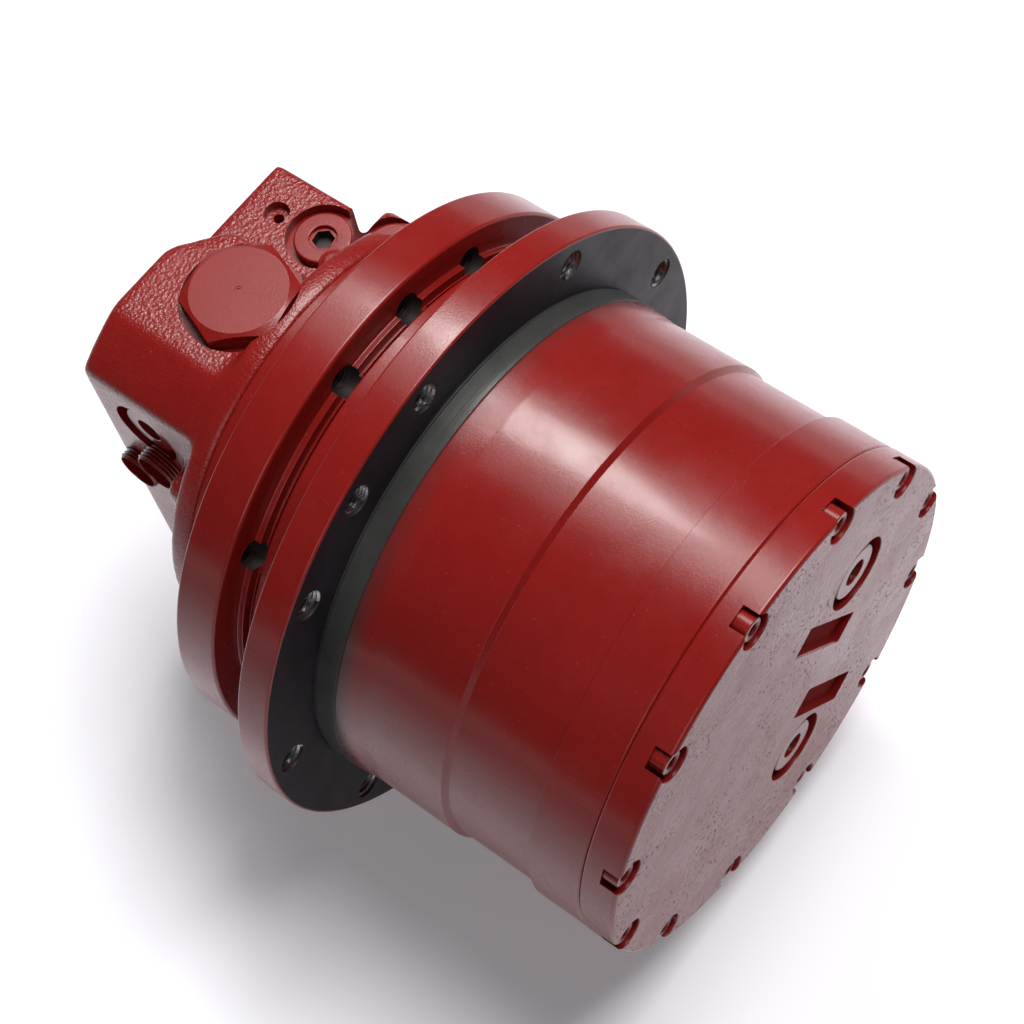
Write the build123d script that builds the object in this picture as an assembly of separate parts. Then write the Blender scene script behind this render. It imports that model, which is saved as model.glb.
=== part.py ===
from build123d import *
import math
import os

# All sizes are in millimetres. The hub turns about the Y axis, the cover faces -Y and +Z is up.
# The origin lies on the turning axis, in the front face of the sprocket flange.

# Sprocket flange
flange_width = 25.7
flange_thickness = 13.9
flange_edge = 1.0
sprocket_hole_inset = 10.9
sprocket_hole_count = 9
sprocket_hole_start = 16.8
sprocket_jack_hole = 116.8

# Tapped holes of both flanges: a ring of M12 holes, and one fine M12 hole for a jacking screw
tap_radius = 5.1
jack_tap_radius = 5.4
tap_mouth_depth = 0.3

# Outside of the hub
pilot_radius = 105.7
pilot_length = 9.9
flare_radius = 105.6
flare_length = 12.1
drum_rear_radius = 104.3
drum_rear_length = 37.2
drum_waist_radius = 102.4
waist_bevel = 2.1
band_radius = 104.6
band_length = 22.3
hub_boss_radius = 105.0
hub_boss_length = 18.0

# Running gap between the turning and the fixed side
side_gap = 0.9

# Main bearings
bearing_bore_radius = 65.0
bearing_section = 20.0
bearing_width = 20.0
bearing_spacing = 12.0
rear_bearing_front = -2.0
bearing_shoulder_height = 6.0
roller_share = 0.55
roller_length = 14.0
roller_count = 18
roller_tilt = 13.0
roller_taper = 2.0
roller_play = 0.03

# Floating face seal
seal_pocket_step = 5.0
seal_ring_play = 2.0
seal_ring_wall = 6.0
seal_ring_length = 9.0
seal_face_width = 4.5
seal_face_thickness = 2.0
seal_face_bevel = 1.5
seal_rubber_from_plane = 4.5
seal_rubber_length = 6.0
seal_rubber_flat = 3.0
seal_rubber_lean = 0.3
seal_collar_step = 2.0

# Fixed spindle casting
spindle_shoulder_height = 5.0
spindle_shoulder_length = 4.0
cavity_room = 12.0
front_wall = 26.0
frame_rim_radius = 104.0
frame_rim_length = 0.6
frame_groove_radius = 100.8
frame_groove_length = 2.0
frame_lip_radius = 105.0
frame_lip_length = 2.6
frame_flange_width = 25.4
frame_flange_thickness = 18.9
frame_flange_edge = 1.5
frame_seal_floor = 5.8
frame_hole_inset = 13.6
frame_hole_count = 9
frame_hole_start = 20.0
frame_jack_hole = 80.0
housing_radius = 92.4
housing_length = 28.1

# Gears, one module for both stages
gear_module = 3.0
pressure_angle = 25.0
tooth_addendum = 0.8
tooth_dedendum = 1.05
tooth_play = 0.15
ring_teeth = 54
ring_gear_wall = 10.0
sun_1_teeth = 12
planet_1_teeth = 21
planet_1_count = 3
planet_1_start = 90.0
planet_1_width = 18.0
sun_2_teeth = 14
planet_2_teeth = 20
planet_2_count = 4
planet_2_start = 45.0
planet_2_width = 28.0
gear_side_gap = 2.0
stage_gap = 3.0
pin_fit = 0.05

# Carriers
carrier_2_radius = 70.0
carrier_2_thickness = 14.0
pin_2_radius = 11.0
pin_overhang = 1.2
carrier_bolt_circle = 50.0
carrier_bolt_radius = 4.0
carrier_bolt_head_radius = 6.5
carrier_bolt_head = 8.0
carrier_bolt_grip = 14.0
carrier_1_radius = 62.0
carrier_1_thickness = 7.0
pin_1_radius = 9.0
sun_2_hub_radius = 14.0
sun_2_bore_radius = 10.0

# End cover
cover_radius = 104.8
cover_thickness = 14.9
cover_edge = 1.5
cover_spigot_length = 5.1
cover_spigot_clearance = 0.05
cover_gear_gap = 8.3
cover_seal_width = 2.6
cover_seal_depth = 2.5
cover_seal_play = 0.4
cover_seal_inset = 1.2
cover_bolt_circle = 99.0
cover_bolt_count = 12
cover_bolt_start = 8.4
cover_counterbore_radius = 7.2
cover_counterbore_depth = 7.35
cover_turn = -51.6
cover_plug_places = ((1.3, 60.2), (44.8, -24.7))
cover_recess_places = ((1.6, 34.0), (43.05, 0.3))
cover_recess_length = 46.2
cover_recess_width = 13.3
cover_recess_depth = 3.0
cover_recess_draft = 1.6
cover_spot_radius = 15.6
cover_spot_depth = 5.0
thrust_pad_radius = 14.0
thrust_pad_seat = 2.7
thrust_pad_gap = 0.5

# Cap screws in the cover
cap_screw_radius = 3.0
cap_screw_head_radius = 5.0
cap_screw_head = 6.0
cap_screw_socket = 5.0
cap_screw_socket_depth = 3.0
cap_screw_grip = 13.0
tap_runout = 1.0

# Oil and gallery plugs, with one size of hexagon socket
plug_flange_radius = 11.8
plug_flange = 4.0
plug_thread_radius = 8.3
plug_thread_length = 9.0
plug_socket = 8.0
plug_socket_depth = 6.0
plug_socket_mouth = 5.5
plug_mouth_depth = 1.0
gallery_spot_radius = 15.0
spot_reach = 50.0

# Port block casting
block_radius = 91.7
block_length = 58.3
block_left = 58.8
block_right = 57.8
block_top = 68.3
block_bottom = 74.0
block_edge = 2.0
casting_root = 5.0
valve_boss_top = 84.0
valve_boss_right = 16.8
valve_boss_corner_y = 127.0
valve_boss_corner_x = -3.0
valve_boss_rounding = 5.0
left_lug_reach = 73.5
left_lug_bottom = 19.0
left_lug_top = 47.5
left_lug_length = 10.0
lug_chamfer = 4.0
right_lug_reach = 75.8
right_lug_bottom = 14.0
right_lug_top = 48.3
right_lug_length = 20.0
right_lug_spot_x = 60.5
right_lug_spot_y = 89.9
dome_x = 29.5
dome_y = 88.0
dome_radius = 6.5
dome_top = 79.0
dome_rounding = 3.9
upper_plug_x = 40.0
upper_plug_y = 104.7
side_plug_y = 116.5
side_plug_z = 46.5
side_spot_depth = 1.5
gallery_spot_depth = 4.5
dowel_hole_x = 38.6
dowel_hole_y = 127.1
dowel_hole_radius = 2.25
dowel_hole_depth = 16.0
dowel_mouth_radius = 5.3
dowel_mouth_depth = 4.0
drain_hole_y = 122.0
drain_hole_z = 36.0
drain_hole_radius = 2.5
drain_hole_depth = 8.0

# Counterbalance valve in the raised boss
valve_x = -5.0
valve_y = 103.1
valve_spot_radius = 24.2
valve_spot_depth = 3.0
valve_bore_radius = 11.0
valve_plug_thread_radius = 16.5
valve_plug_thread_length = 20.0
valve_plug_hex = 41.0
valve_plug_head = 8.2
valve_plug_chamfer_radius = 19.2
valve_plug_chamfer = 2.6
valve_plug_cavity_radius = 8.0
valve_plug_cavity_depth = 8.0
valve_plug_turn = 0.0
spool_clearance = 0.05
spool_land = 14.0
spool_waist_radius = 6.0
spool_end_room = 12.0
spring_wire = 1.0
spring_fit = 0.3
spring_turns = 4

# Hose adapters
adapter_radius = 9.8
adapter_bore_radius = 8.5
adapter_seat_depth = 14.0
port_passage_radius = 6.5
port_passage_depth = 30.0
port_places = ((130.8, 8.0, 63.5), (114.6, 24.5, 64.5))

# Long cap screws that hold the port block on the spindle
long_bolt_inset = 9.0
long_bolt_angles = (48.0, 125.0, 232.0, 308.0)
long_bolt_radius = 4.4
long_bolt_head_radius = 6.6
long_bolt_head = 9.0
long_bolt_grip = 20.0
long_bolt_socket = 8.0

# Motor
shaft_radius = 12.0
shaft_nose_radius = 11.0
shaft_front = -32.0
sun_shaft_radius = 8.0
sun_shaft_seat = 16.0
wall_hole_radius = 14.0
shaft_seal_radius = 18.0
shaft_seal_width = 6.0
front_shaft_bearing_radius = 24.0
front_shaft_bearing_width = 14.0
rear_shaft_bearing_radius = 20.0
rear_shaft_bearing_width = 10.0
shaft_fit = 0.05
barrel_radius = 38.0
barrel_front = 30.0
barrel_length = 40.0
piston_count = 7
piston_circle = 26.0
piston_radius = 7.0
piston_bore_depth = 32.0
piston_front = 26.0
piston_length = 30.0
barrel_port_radius = 3.5
valve_plate_thickness = 4.0
valve_plate_play = 0.2
valve_plate_slot = 8.0
valve_plate_bridge = 40.0
shoe_radius = 8.0
shoe_neck_radius = 4.5
shoe_face = 19.0
shoe_face_thickness = 2.5
retainer_thickness = 2.0
retainer_radius = 35.5
retainer_bore_radius = 16.0

# Tilting swash plate for two speeds
swash_tilt = 10.0
swash_radius = 40.0
swash_thickness = 11.0
swash_bore_radius = 17.0
swash_front_gap = 6.0
pivot_height = 3.0
pivot_spread = 33.0
pivot_radius = 8.0
pivot_length = 12.0
pivot_fit = 0.05
control_piston_place = -32.0
control_piston_radius = 5.0
control_bore_depth = 17.0
control_floor_room = 4.0

# Parking brake
brake_front = 42.0
brake_bore_step = 16.0
steel_plate_step = 5.0
friction_plate_band = 12.0
brake_plate_thickness = 2.5
brake_plate_gap = 0.3
friction_plate_count = 2
brake_piston_step = 4.0
brake_piston_length = 14.0
brake_piston_fit = 0.05
disc_spring_thickness = 1.5
disc_spring_inner_step = 2.0
disc_spring_outer_step = 1.0

# Radii that follow from the sizes above
flange_radius = pilot_radius + flange_width
sprocket_hole_circle = flange_radius - sprocket_hole_inset
frame_flange_radius = housing_radius + frame_flange_width
frame_hole_circle = frame_flange_radius - frame_hole_inset
bearing_outer_radius = bearing_bore_radius + bearing_section
roller_pitch_radius = bearing_bore_radius + bearing_section / 2
roller_radius = bearing_section / 2 * roller_share
spindle_shoulder_radius = bearing_bore_radius + spindle_shoulder_height
seal_collar_radius = spindle_shoulder_radius + seal_collar_step
seal_ring_radius = seal_collar_radius + seal_ring_play
seal_pocket_radius = bearing_outer_radius + seal_pocket_step
ring_gear_radius = gear_module * ring_teeth / 2 + ring_gear_wall
cavity_radius = barrel_radius + cavity_room
brake_bore_radius = barrel_radius + brake_bore_step
steel_plate_inner = barrel_radius + steel_plate_step
friction_plate_outer = barrel_radius + friction_plate_band
brake_piston_inner = barrel_radius + brake_piston_step
long_bolt_circle = brake_bore_radius + long_bolt_inset

# Stations along the axis that follow from the sizes above
flange_rear = flange_thickness
hub_rear = flange_rear + hub_boss_length
frame_front = hub_rear + side_gap
frame_flange_front = frame_front + frame_rim_length + frame_groove_length + frame_lip_length
frame_flange_rear = frame_flange_front + frame_flange_thickness
rear_bearing_rear = rear_bearing_front + bearing_width
front_bearing_rear = rear_bearing_front - bearing_spacing
spindle_nose = front_bearing_rear - bearing_width
cavity_front = spindle_nose + front_wall
carrier_2_front = spindle_nose - carrier_2_thickness
planet_2_rear = carrier_2_front - gear_side_gap
planet_2_front = planet_2_rear - planet_2_width
carrier_1_rear = planet_2_front - stage_gap
carrier_1_front = carrier_1_rear - carrier_1_thickness
planet_1_rear = carrier_1_front - gear_side_gap
planet_1_front = planet_1_rear - planet_1_width
cover_inside = planet_1_front - cover_gear_gap
hub_front = cover_inside - cover_spigot_length
cover_front = hub_front - cover_thickness
ring_gear_rear = spindle_nose - carrier_2_thickness / 2
housing_shoulder = frame_flange_rear + housing_length
block_rear = housing_shoulder + block_length
barrel_rear = barrel_front + barrel_length
motor_recess_floor = barrel_rear + valve_plate_thickness
seal_plane = (hub_rear + frame_front) / 2
swash_pivot = cavity_front + pivot_height
planet_1_distance = gear_module * (sun_1_teeth + planet_1_teeth) / 2
planet_2_distance = gear_module * (sun_2_teeth + planet_2_teeth) / 2
cover_spigot_radius = ring_gear_radius - cover_spigot_clearance

forward = (0, -1, 0)
backward = (0, 1, 0)
upward = (0, 0, 1)
downward = (0, 0, -1)
leftward = (-1, 0, 0)
rightward = (1, 0, 0)


def turned(*points):
    # A solid turned about the Y axis, from the (radius, y) points of half its section
    return revolve(make_face(Polyline(*points, close=True)), Axis.Y)


def bar(radius, start, direction, length):
    # A round bar or hole that begins at a point and runs in a direction
    return Plane(origin=start, z_dir=direction) * extrude(Circle(radius), length)


def disc(radius, front, rear):
    # A round disc about the Y axis between two stations
    return bar(radius, (0, front, 0), backward, rear - front)


def collar(inner, outer, front, rear):
    return turned((inner, front), (outer, front), (outer, rear), (inner, rear))


def box_between(low, high):
    size = [b - a for a, b in zip(low, high)]
    middle = [(a + b) / 2 for a, b in zip(low, high)]
    return Pos(*middle) * Box(*size)


def on_circle(radius, angle, y=0.0):
    # Angles run from +X towards +Z
    return radius * math.cos(math.radians(angle)), y, radius * math.sin(math.radians(angle))


def spun(shape, angle):
    return Rot(0, -angle, 0) * shape


def steps(count, start=0.0):
    return [start + 360 / count * index for index in range(count)]


def front_plane(y):
    # A drawing plane seen from the cover side, with X to the right and Z up
    return Plane(origin=(0, y, 0), x_dir=(1, 0, 0), z_dir=forward)


def hex_socket(size, start, direction, depth):
    outline = RegularPolygon(size / 2, 6, major_radius=False)
    return Plane(origin=start, z_dir=direction) * extrude(outline, depth)


def involute(angle):
    return math.tan(angle) - angle


def half_tooth_angle(teeth, radius, play):
    # Half the angle that a tooth fills at a radius, in degrees
    pressure = math.radians(pressure_angle)
    pitch_radius = gear_module * teeth / 2
    base_radius = pitch_radius * math.cos(pressure)
    at_radius = math.acos(base_radius / max(radius, base_radius))
    narrowing = involute(pressure) - involute(at_radius) - play / (2 * pitch_radius)
    return math.degrees(math.pi / (2 * teeth) + narrowing)


def toothed_face(teeth, radii, play, phase):
    # The outline of a gear whose flanks pass through the given radii, root to tip
    points = []
    for centre in steps(teeth, phase):
        for radius in radii:
            points.append(on_circle(radius, centre - half_tooth_angle(teeth, radius, play)))
        for radius in reversed(radii):
            points.append(on_circle(radius, centre + half_tooth_angle(teeth, radius, play)))
    return make_face(Polyline(*[(x, z) for x, _, z in points], close=True))


def outer_gear(teeth, phase, front, rear):
    pitch_radius = gear_module * teeth / 2
    root = pitch_radius - gear_module * tooth_dedendum
    tip = pitch_radius + gear_module * tooth_addendum
    face = toothed_face(teeth, (root, pitch_radius, tip), tooth_play, phase)
    return front_plane(rear) * extrude(face, rear - front)


# A planet's phase puts one of its teeth in a space of the ring gear, whose spaces start at 0
def planet_phase(teeth, angle):
    return angle - angle * ring_teeth / teeth


# The sun's phase puts one of its teeth in a space of the planet that stands at an angle
def sun_phase(teeth, planet_teeth, angle):
    towards_sun = planet_phase(planet_teeth, angle) - angle - 180
    return angle - (towards_sun * planet_teeth + 180) / teeth


def tapped_hole(radius, place, direction, length):
    mouth = Plane(origin=place, z_dir=direction) * Pos(0, 0, tap_mouth_depth / 2) * Cone(
        radius + tap_mouth_depth, radius, tap_mouth_depth
    )
    return bar(radius, place, direction, length) + mouth


def flange_holes(circle, count, start, jack_angle, y, direction, length):
    # The ring of tapped holes of a flange and its jacking hole midway between two of them
    places = [(tap_radius, angle) for angle in steps(count, start)] + [(jack_tap_radius, jack_angle)]
    return [tapped_hole(radius, on_circle(circle, angle, y), direction, length) for radius, angle in places]


def make_hub():
    waist_front = hub_front + band_length
    rear_front = -pilot_length - flare_length - drum_rear_length
    shoulder_radius = bearing_outer_radius - bearing_shoulder_height
    body = turned(
        (ring_gear_radius, hub_front),
        (band_radius, hub_front),
        (band_radius, waist_front),
        (drum_waist_radius, waist_front),
        (drum_waist_radius, rear_front - waist_bevel),
        (drum_rear_radius, rear_front),
        (drum_rear_radius, -pilot_length - flare_length),
        (flare_radius, -pilot_length),
        (pilot_radius, -pilot_length),
        (pilot_radius, 0),
        (flange_radius - flange_edge, 0),
        (flange_radius, flange_edge),
        (flange_radius, flange_rear - flange_edge),
        (flange_radius - flange_edge, flange_rear),
        (hub_boss_radius, flange_rear),
        (hub_boss_radius, hub_rear),
        (seal_pocket_radius, hub_rear),
        (seal_pocket_radius, rear_bearing_rear + gear_side_gap),
        (bearing_outer_radius, rear_bearing_rear + gear_side_gap),
        (bearing_outer_radius, rear_bearing_front),
        (shoulder_radius, rear_bearing_front),
        (shoulder_radius, front_bearing_rear),
        (bearing_outer_radius, front_bearing_rear),
        (bearing_outer_radius, ring_gear_rear),
        (ring_gear_radius, ring_gear_rear),
    )
    holes = flange_holes(sprocket_hole_circle, sprocket_hole_count, sprocket_hole_start,
                         sprocket_jack_hole, 0, backward, flange_thickness)
    for angle in steps(cover_bolt_count, cover_bolt_start):
        place = on_circle(cover_bolt_circle, angle, hub_front)
        holes.append(bar(cap_screw_radius, place, backward, cap_screw_grip + tap_runout))
    return body - holes


def make_ring_gear():
    pitch_radius = gear_module * ring_teeth / 2
    tip = pitch_radius - gear_module * tooth_addendum
    root = pitch_radius + gear_module * tooth_dedendum
    spaces = toothed_face(ring_teeth, (tip, root), -tooth_play, 0)
    length = ring_gear_rear - cover_inside
    return front_plane(ring_gear_rear) * extrude(Circle(ring_gear_radius) - spaces, length)


def cover_place(across, up, y):
    # The cover's own axes are turned against the row's
    turn = math.radians(cover_turn)
    x = across * math.cos(turn) - up * math.sin(turn)
    z = across * math.sin(turn) + up * math.cos(turn)
    return x, y, z


def cover_recess(across, up):
    x, _, z = cover_place(across, up, 0)
    plane = front_plane(cover_front) * Pos(x, z) * Rot(0, 0, cover_turn)
    floor = Pos(0, 0, -cover_recess_depth) * Rectangle(
        cover_recess_length - 2 * cover_recess_draft, cover_recess_width - 2 * cover_recess_draft
    )
    mouth = Rectangle(cover_recess_length, cover_recess_width)
    return plane * loft([floor, mouth])


def cover_seal_stations():
    # Front and rear of the sealing ring in the cover's spigot
    front = hub_front + cover_seal_inset + cover_seal_play / 2
    return front, front + cover_seal_width


def make_cover_seal():
    front, rear = cover_seal_stations()
    return collar(cover_spigot_radius - cover_seal_depth, ring_gear_radius, front, rear)


def make_cover():
    pad_seat = cover_inside - thrust_pad_seat
    seal_front, seal_rear = cover_seal_stations()
    body = turned(
        (0, cover_front),
        (cover_radius, cover_front),
        (cover_radius, hub_front),
        (cover_spigot_radius, hub_front),
        (cover_spigot_radius, cover_inside),
        (thrust_pad_radius, cover_inside),
        (thrust_pad_radius, pad_seat),
        (0, pad_seat),
    )
    rim = body.edges().filter_by(GeomType.CIRCLE).group_by(Axis.Y)[0]
    body = fillet(rim, cover_edge)
    cuts = [cover_recess(*place) for place in cover_recess_places]
    cuts.append(collar(cover_spigot_radius - cover_seal_depth, ring_gear_radius,
                       seal_front - cover_seal_play / 2, seal_rear + cover_seal_play / 2))
    for angle in steps(cover_bolt_count, cover_bolt_start):
        place = on_circle(cover_bolt_circle, angle, cover_front)
        cuts.append(bar(cover_counterbore_radius, place, backward, cover_counterbore_depth))
        cuts.append(bar(cap_screw_radius, place, backward, cover_thickness))
    for across, up in cover_plug_places:
        place = cover_place(across, up, cover_front)
        cuts.append(bar(cover_spot_radius, place, backward, cover_spot_depth))
        cuts.append(bar(plug_thread_radius, place, backward, cover_thickness + cover_spigot_length))
    return body - cuts


def make_cover_screws():
    screws = []
    seat = cover_front + cover_counterbore_depth
    for angle in steps(cover_bolt_count, cover_bolt_start):
        place = on_circle(cover_bolt_circle, angle, seat)
        top = on_circle(cover_bolt_circle, angle, seat - cap_screw_head)
        length = hub_front + cap_screw_grip - seat
        screw = bar(cap_screw_head_radius, place, forward, cap_screw_head)
        screw += bar(cap_screw_radius, place, backward, length)
        screws.append(screw - hex_socket(cap_screw_socket, top, backward, cap_screw_socket_depth))
    return Compound(screws)


def socket_plug(seat, outward):
    # A flanged plug with a hexagon socket; the seat is the centre of its flange's under side
    inward = tuple(-part for part in outward)
    top = tuple(a + plug_flange * b for a, b in zip(seat, outward))
    plug = bar(plug_flange_radius, seat, outward, plug_flange)
    plug += bar(plug_thread_radius, seat, inward, plug_thread_length)
    plug -= hex_socket(plug_socket, top, inward, plug_socket_depth)
    return plug - bar(plug_socket_mouth, top, inward, plug_mouth_depth)


def make_cover_plugs():
    seat = cover_front + cover_spot_depth
    return Compound([socket_plug(cover_place(*place, seat), forward) for place in cover_plug_places])


def make_thrust_pad():
    return disc(thrust_pad_radius, cover_inside - thrust_pad_seat, planet_1_front - thrust_pad_gap)


def race_point(middle, lean, along, side):
    # A point on a raceway line: along the roller's axis, on the inner (-1) or outer (+1) side
    tilt = math.radians(roller_tilt) * lean
    widening = lean * along * math.tan(math.radians(roller_taper))
    reach = roller_radius + widening + roller_play
    radius = roller_pitch_radius + along * math.sin(tilt) + side * reach * math.cos(tilt)
    return radius, middle + along * math.cos(tilt) - side * reach * math.sin(tilt)


def race_radius(middle, lean, y, side):
    # Where a raceway line crosses a station along the axis
    near = race_point(middle, lean, -roller_length / 2, side)
    far = race_point(middle, lean, roller_length / 2, side)
    return near[0] + (far[0] - near[0]) * (y - near[1]) / (far[1] - near[1])


def make_bearing_ring(front, lean, side):
    rear = front + bearing_width
    middle = (front + rear) / 2
    seat = bearing_bore_radius if side < 0 else bearing_outer_radius
    return turned(
        (seat, front),
        (race_radius(middle, lean, front, side), front),
        (race_radius(middle, lean, rear, side), rear),
        (seat, rear),
    )


def make_rollers(front, lean):
    # The taper grows along the roller's own axis, which leans out to the front or the rear
    middle = front + bearing_width / 2
    tilt = math.radians(roller_tilt)
    axis = (math.sin(tilt), lean * math.cos(tilt), 0)
    widening = roller_length / 2 * math.tan(math.radians(roller_taper))
    shape = Cone(roller_radius - widening, roller_radius + widening, roller_length)
    roller = Plane(origin=(roller_pitch_radius, middle, 0), z_dir=axis) * shape
    return Compound([spun(roller, angle) for angle in steps(roller_count)])


def make_seal_ring(back):
    # Metal ring with its lapped face in the seal plane; back is -1 for the hub's ring
    outer = seal_ring_radius + seal_ring_wall
    face_outer = outer + seal_face_width
    face_rear = seal_plane + back * seal_face_thickness
    ring_rear = seal_plane + back * seal_ring_length
    return turned(
        (seal_ring_radius, seal_plane),
        (face_outer, seal_plane),
        (face_outer, face_rear),
        (outer, face_rear + back * seal_face_bevel),
        (outer, ring_rear),
        (seal_ring_radius, ring_rear),
    )


def make_seal_rubber(back):
    inner = seal_ring_radius + seal_ring_wall
    near = seal_plane + back * seal_rubber_from_plane
    far = near + back * seal_rubber_length
    flat_near = (near + far - back * seal_rubber_flat) / 2
    flat_far = (near + far + back * seal_rubber_flat) / 2
    lean = (seal_pocket_radius - inner) * seal_rubber_lean
    return turned(
        (inner, flat_near),
        (inner + lean, near),
        (seal_pocket_radius, flat_near),
        (seal_pocket_radius, flat_far),
        (seal_pocket_radius - lean, far),
        (inner, flat_far),
    )


def make_spindle():
    nose_bore = spindle_nose + front_wall - front_shaft_bearing_width
    seal_seat = nose_bore - shaft_seal_width
    seal_floor = frame_flange_front + frame_seal_floor
    groove_front = frame_front + frame_rim_length
    body = turned(
        (wall_hole_radius, spindle_nose),
        (bearing_bore_radius, spindle_nose),
        (bearing_bore_radius, rear_bearing_rear),
        (spindle_shoulder_radius, rear_bearing_rear),
        (spindle_shoulder_radius, rear_bearing_rear + spindle_shoulder_length),
        (seal_collar_radius, rear_bearing_rear + spindle_shoulder_length),
        (seal_collar_radius, seal_floor),
        (seal_pocket_radius, seal_floor),
        (seal_pocket_radius, frame_front),
        (frame_rim_radius, frame_front),
        (frame_rim_radius, groove_front),
        (frame_groove_radius, groove_front),
        (frame_groove_radius, groove_front + frame_groove_length),
        (frame_lip_radius, groove_front + frame_groove_length),
        (frame_lip_radius, frame_flange_front),
        (frame_flange_radius - frame_flange_edge, frame_flange_front),
        (frame_flange_radius, frame_flange_front + frame_flange_edge),
        (frame_flange_radius, frame_flange_rear),
        (housing_radius, frame_flange_rear),
        (housing_radius, motor_recess_floor),
        (brake_bore_radius, motor_recess_floor),
        (brake_bore_radius, brake_front),
        (cavity_radius, brake_front),
        (cavity_radius, cavity_front),
        (front_shaft_bearing_radius, cavity_front),
        (front_shaft_bearing_radius, nose_bore),
        (shaft_seal_radius, nose_bore),
        (shaft_seal_radius, seal_seat),
        (wall_hole_radius, seal_seat),
    )
    cuts = flange_holes(frame_hole_circle, frame_hole_count, frame_hole_start,
                        frame_jack_hole, frame_flange_rear, forward, frame_flange_rear - frame_front)
    for angle in long_bolt_angles:
        place = on_circle(long_bolt_circle, angle, motor_recess_floor)
        cuts.append(bar(long_bolt_radius, place, forward, long_bolt_grip + tap_runout))
    for angle in steps(planet_2_count, planet_2_start + 180 / planet_2_count):
        place = on_circle(carrier_bolt_circle, angle, spindle_nose)
        cuts.append(bar(carrier_bolt_radius, place, backward, carrier_bolt_grip + tap_runout))
    for side in (-1, 1):
        cuts.append(pivot_pin(side, pivot_fit))
    place = (0, cavity_front, control_piston_place)
    bore = control_piston_radius + pivot_fit
    cuts.append(bar(bore, place, forward, control_bore_depth))
    return body - cuts


def make_second_carrier():
    plate = collar(wall_hole_radius, carrier_2_radius, carrier_2_front, spindle_nose)
    cuts = []
    for angle in steps(planet_2_count, planet_2_start):
        place = on_circle(planet_2_distance, angle, carrier_2_front)
        cuts.append(bar(pin_2_radius, place, backward, carrier_2_thickness))
    for angle in steps(planet_2_count, planet_2_start + 180 / planet_2_count):
        place = on_circle(carrier_bolt_circle, angle, carrier_2_front)
        cuts.append(bar(carrier_bolt_radius, place, backward, carrier_2_thickness))
        cuts.append(bar(carrier_bolt_head_radius, place, backward, carrier_bolt_head))
    return plate - cuts


def make_carrier_bolts():
    bolts = []
    seat = carrier_2_front + carrier_bolt_head
    for angle in steps(planet_2_count, planet_2_start + 180 / planet_2_count):
        place = on_circle(carrier_bolt_circle, angle, seat)
        bolt = bar(carrier_bolt_head_radius, place, forward, carrier_bolt_head)
        length = spindle_nose + carrier_bolt_grip - seat
        bolts.append(bolt + bar(carrier_bolt_radius, place, backward, length))
    return Compound(bolts)


def make_pins(count, start, distance, radius, front, rear):
    pins = [bar(radius, on_circle(distance, angle, front), backward, rear - front)
            for angle in steps(count, start)]
    return Compound(pins)


def make_planet(teeth, distance, angle, bore, front, rear):
    x, _, z = on_circle(distance, angle)
    gear = Pos(x, 0, z) * outer_gear(teeth, planet_phase(teeth, angle), front, rear)
    return gear - bar(bore, (x, front, z), backward, rear - front)


def make_second_sun():
    phase = sun_phase(sun_2_teeth, planet_2_teeth, planet_2_start)
    gear = outer_gear(sun_2_teeth, phase, planet_2_front, planet_2_rear)
    gear += disc(sun_2_hub_radius, carrier_1_front, planet_2_front)
    return gear - disc(sun_2_bore_radius, carrier_1_front, planet_2_rear)


def make_first_sun():
    phase = sun_phase(sun_1_teeth, planet_1_teeth, planet_1_start)
    gear = outer_gear(sun_1_teeth, phase, planet_1_front, planet_1_rear)
    return gear + disc(sun_shaft_radius, planet_1_rear, shaft_front + sun_shaft_seat)


def make_first_carrier():
    plate = collar(sun_2_hub_radius, carrier_1_radius, carrier_1_front, carrier_1_rear)
    for angle in steps(planet_1_count, planet_1_start):
        place = on_circle(planet_1_distance, angle, carrier_1_front)
        plate -= bar(pin_1_radius, place, backward, carrier_1_thickness)
    return plate


def make_motor_shaft():
    step = cavity_front - front_shaft_bearing_width
    rear = motor_recess_floor + rear_shaft_bearing_width
    return turned(
        (sun_shaft_radius, shaft_front),
        (shaft_nose_radius, shaft_front),
        (shaft_nose_radius, step),
        (shaft_radius, step),
        (shaft_radius, rear),
        (0, rear),
        (0, shaft_front + sun_shaft_seat),
        (sun_shaft_radius, shaft_front + sun_shaft_seat),
    )


def make_barrel():
    body = collar(shaft_radius, barrel_radius, barrel_front, barrel_rear)
    cuts = []
    for angle in steps(piston_count):
        place = on_circle(piston_circle, angle, barrel_front)
        cuts.append(bar(piston_radius, place, backward, piston_bore_depth))
        cuts.append(bar(barrel_port_radius, place, backward, barrel_length))
    return body - cuts


def make_pistons():
    return Compound([bar(piston_radius, on_circle(piston_circle, angle, piston_front), backward,
                         piston_length) for angle in steps(piston_count)])


def make_shoes():
    shoes = []
    for angle in steps(piston_count):
        face = on_circle(piston_circle, angle, shoe_face)
        shoe = bar(shoe_radius, face, backward, shoe_face_thickness)
        shoes.append(shoe + bar(shoe_neck_radius, face, backward, piston_front - shoe_face))
    return Compound(shoes)


def make_retainer():
    front = shoe_face + shoe_face_thickness
    plate = collar(retainer_bore_radius, retainer_radius, front, front + retainer_thickness)
    for angle in steps(piston_count):
        place = on_circle(piston_circle, angle, front)
        plate -= bar(shoe_neck_radius, place, backward, retainer_thickness)
    return plate


def make_valve_plate():
    plate = collar(shaft_radius + valve_plate_play, barrel_radius, barrel_rear, motor_recess_floor)
    slot_arc = 180 - valve_plate_bridge
    for middle in (0, 180):
        path = CenterArc((0, 0), piston_circle, middle - slot_arc / 2, slot_arc)
        slot = extrude(SlotArc(path, valve_plate_slot), valve_plate_thickness)
        plate -= front_plane(motor_recess_floor) * slot
    return plate


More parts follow.
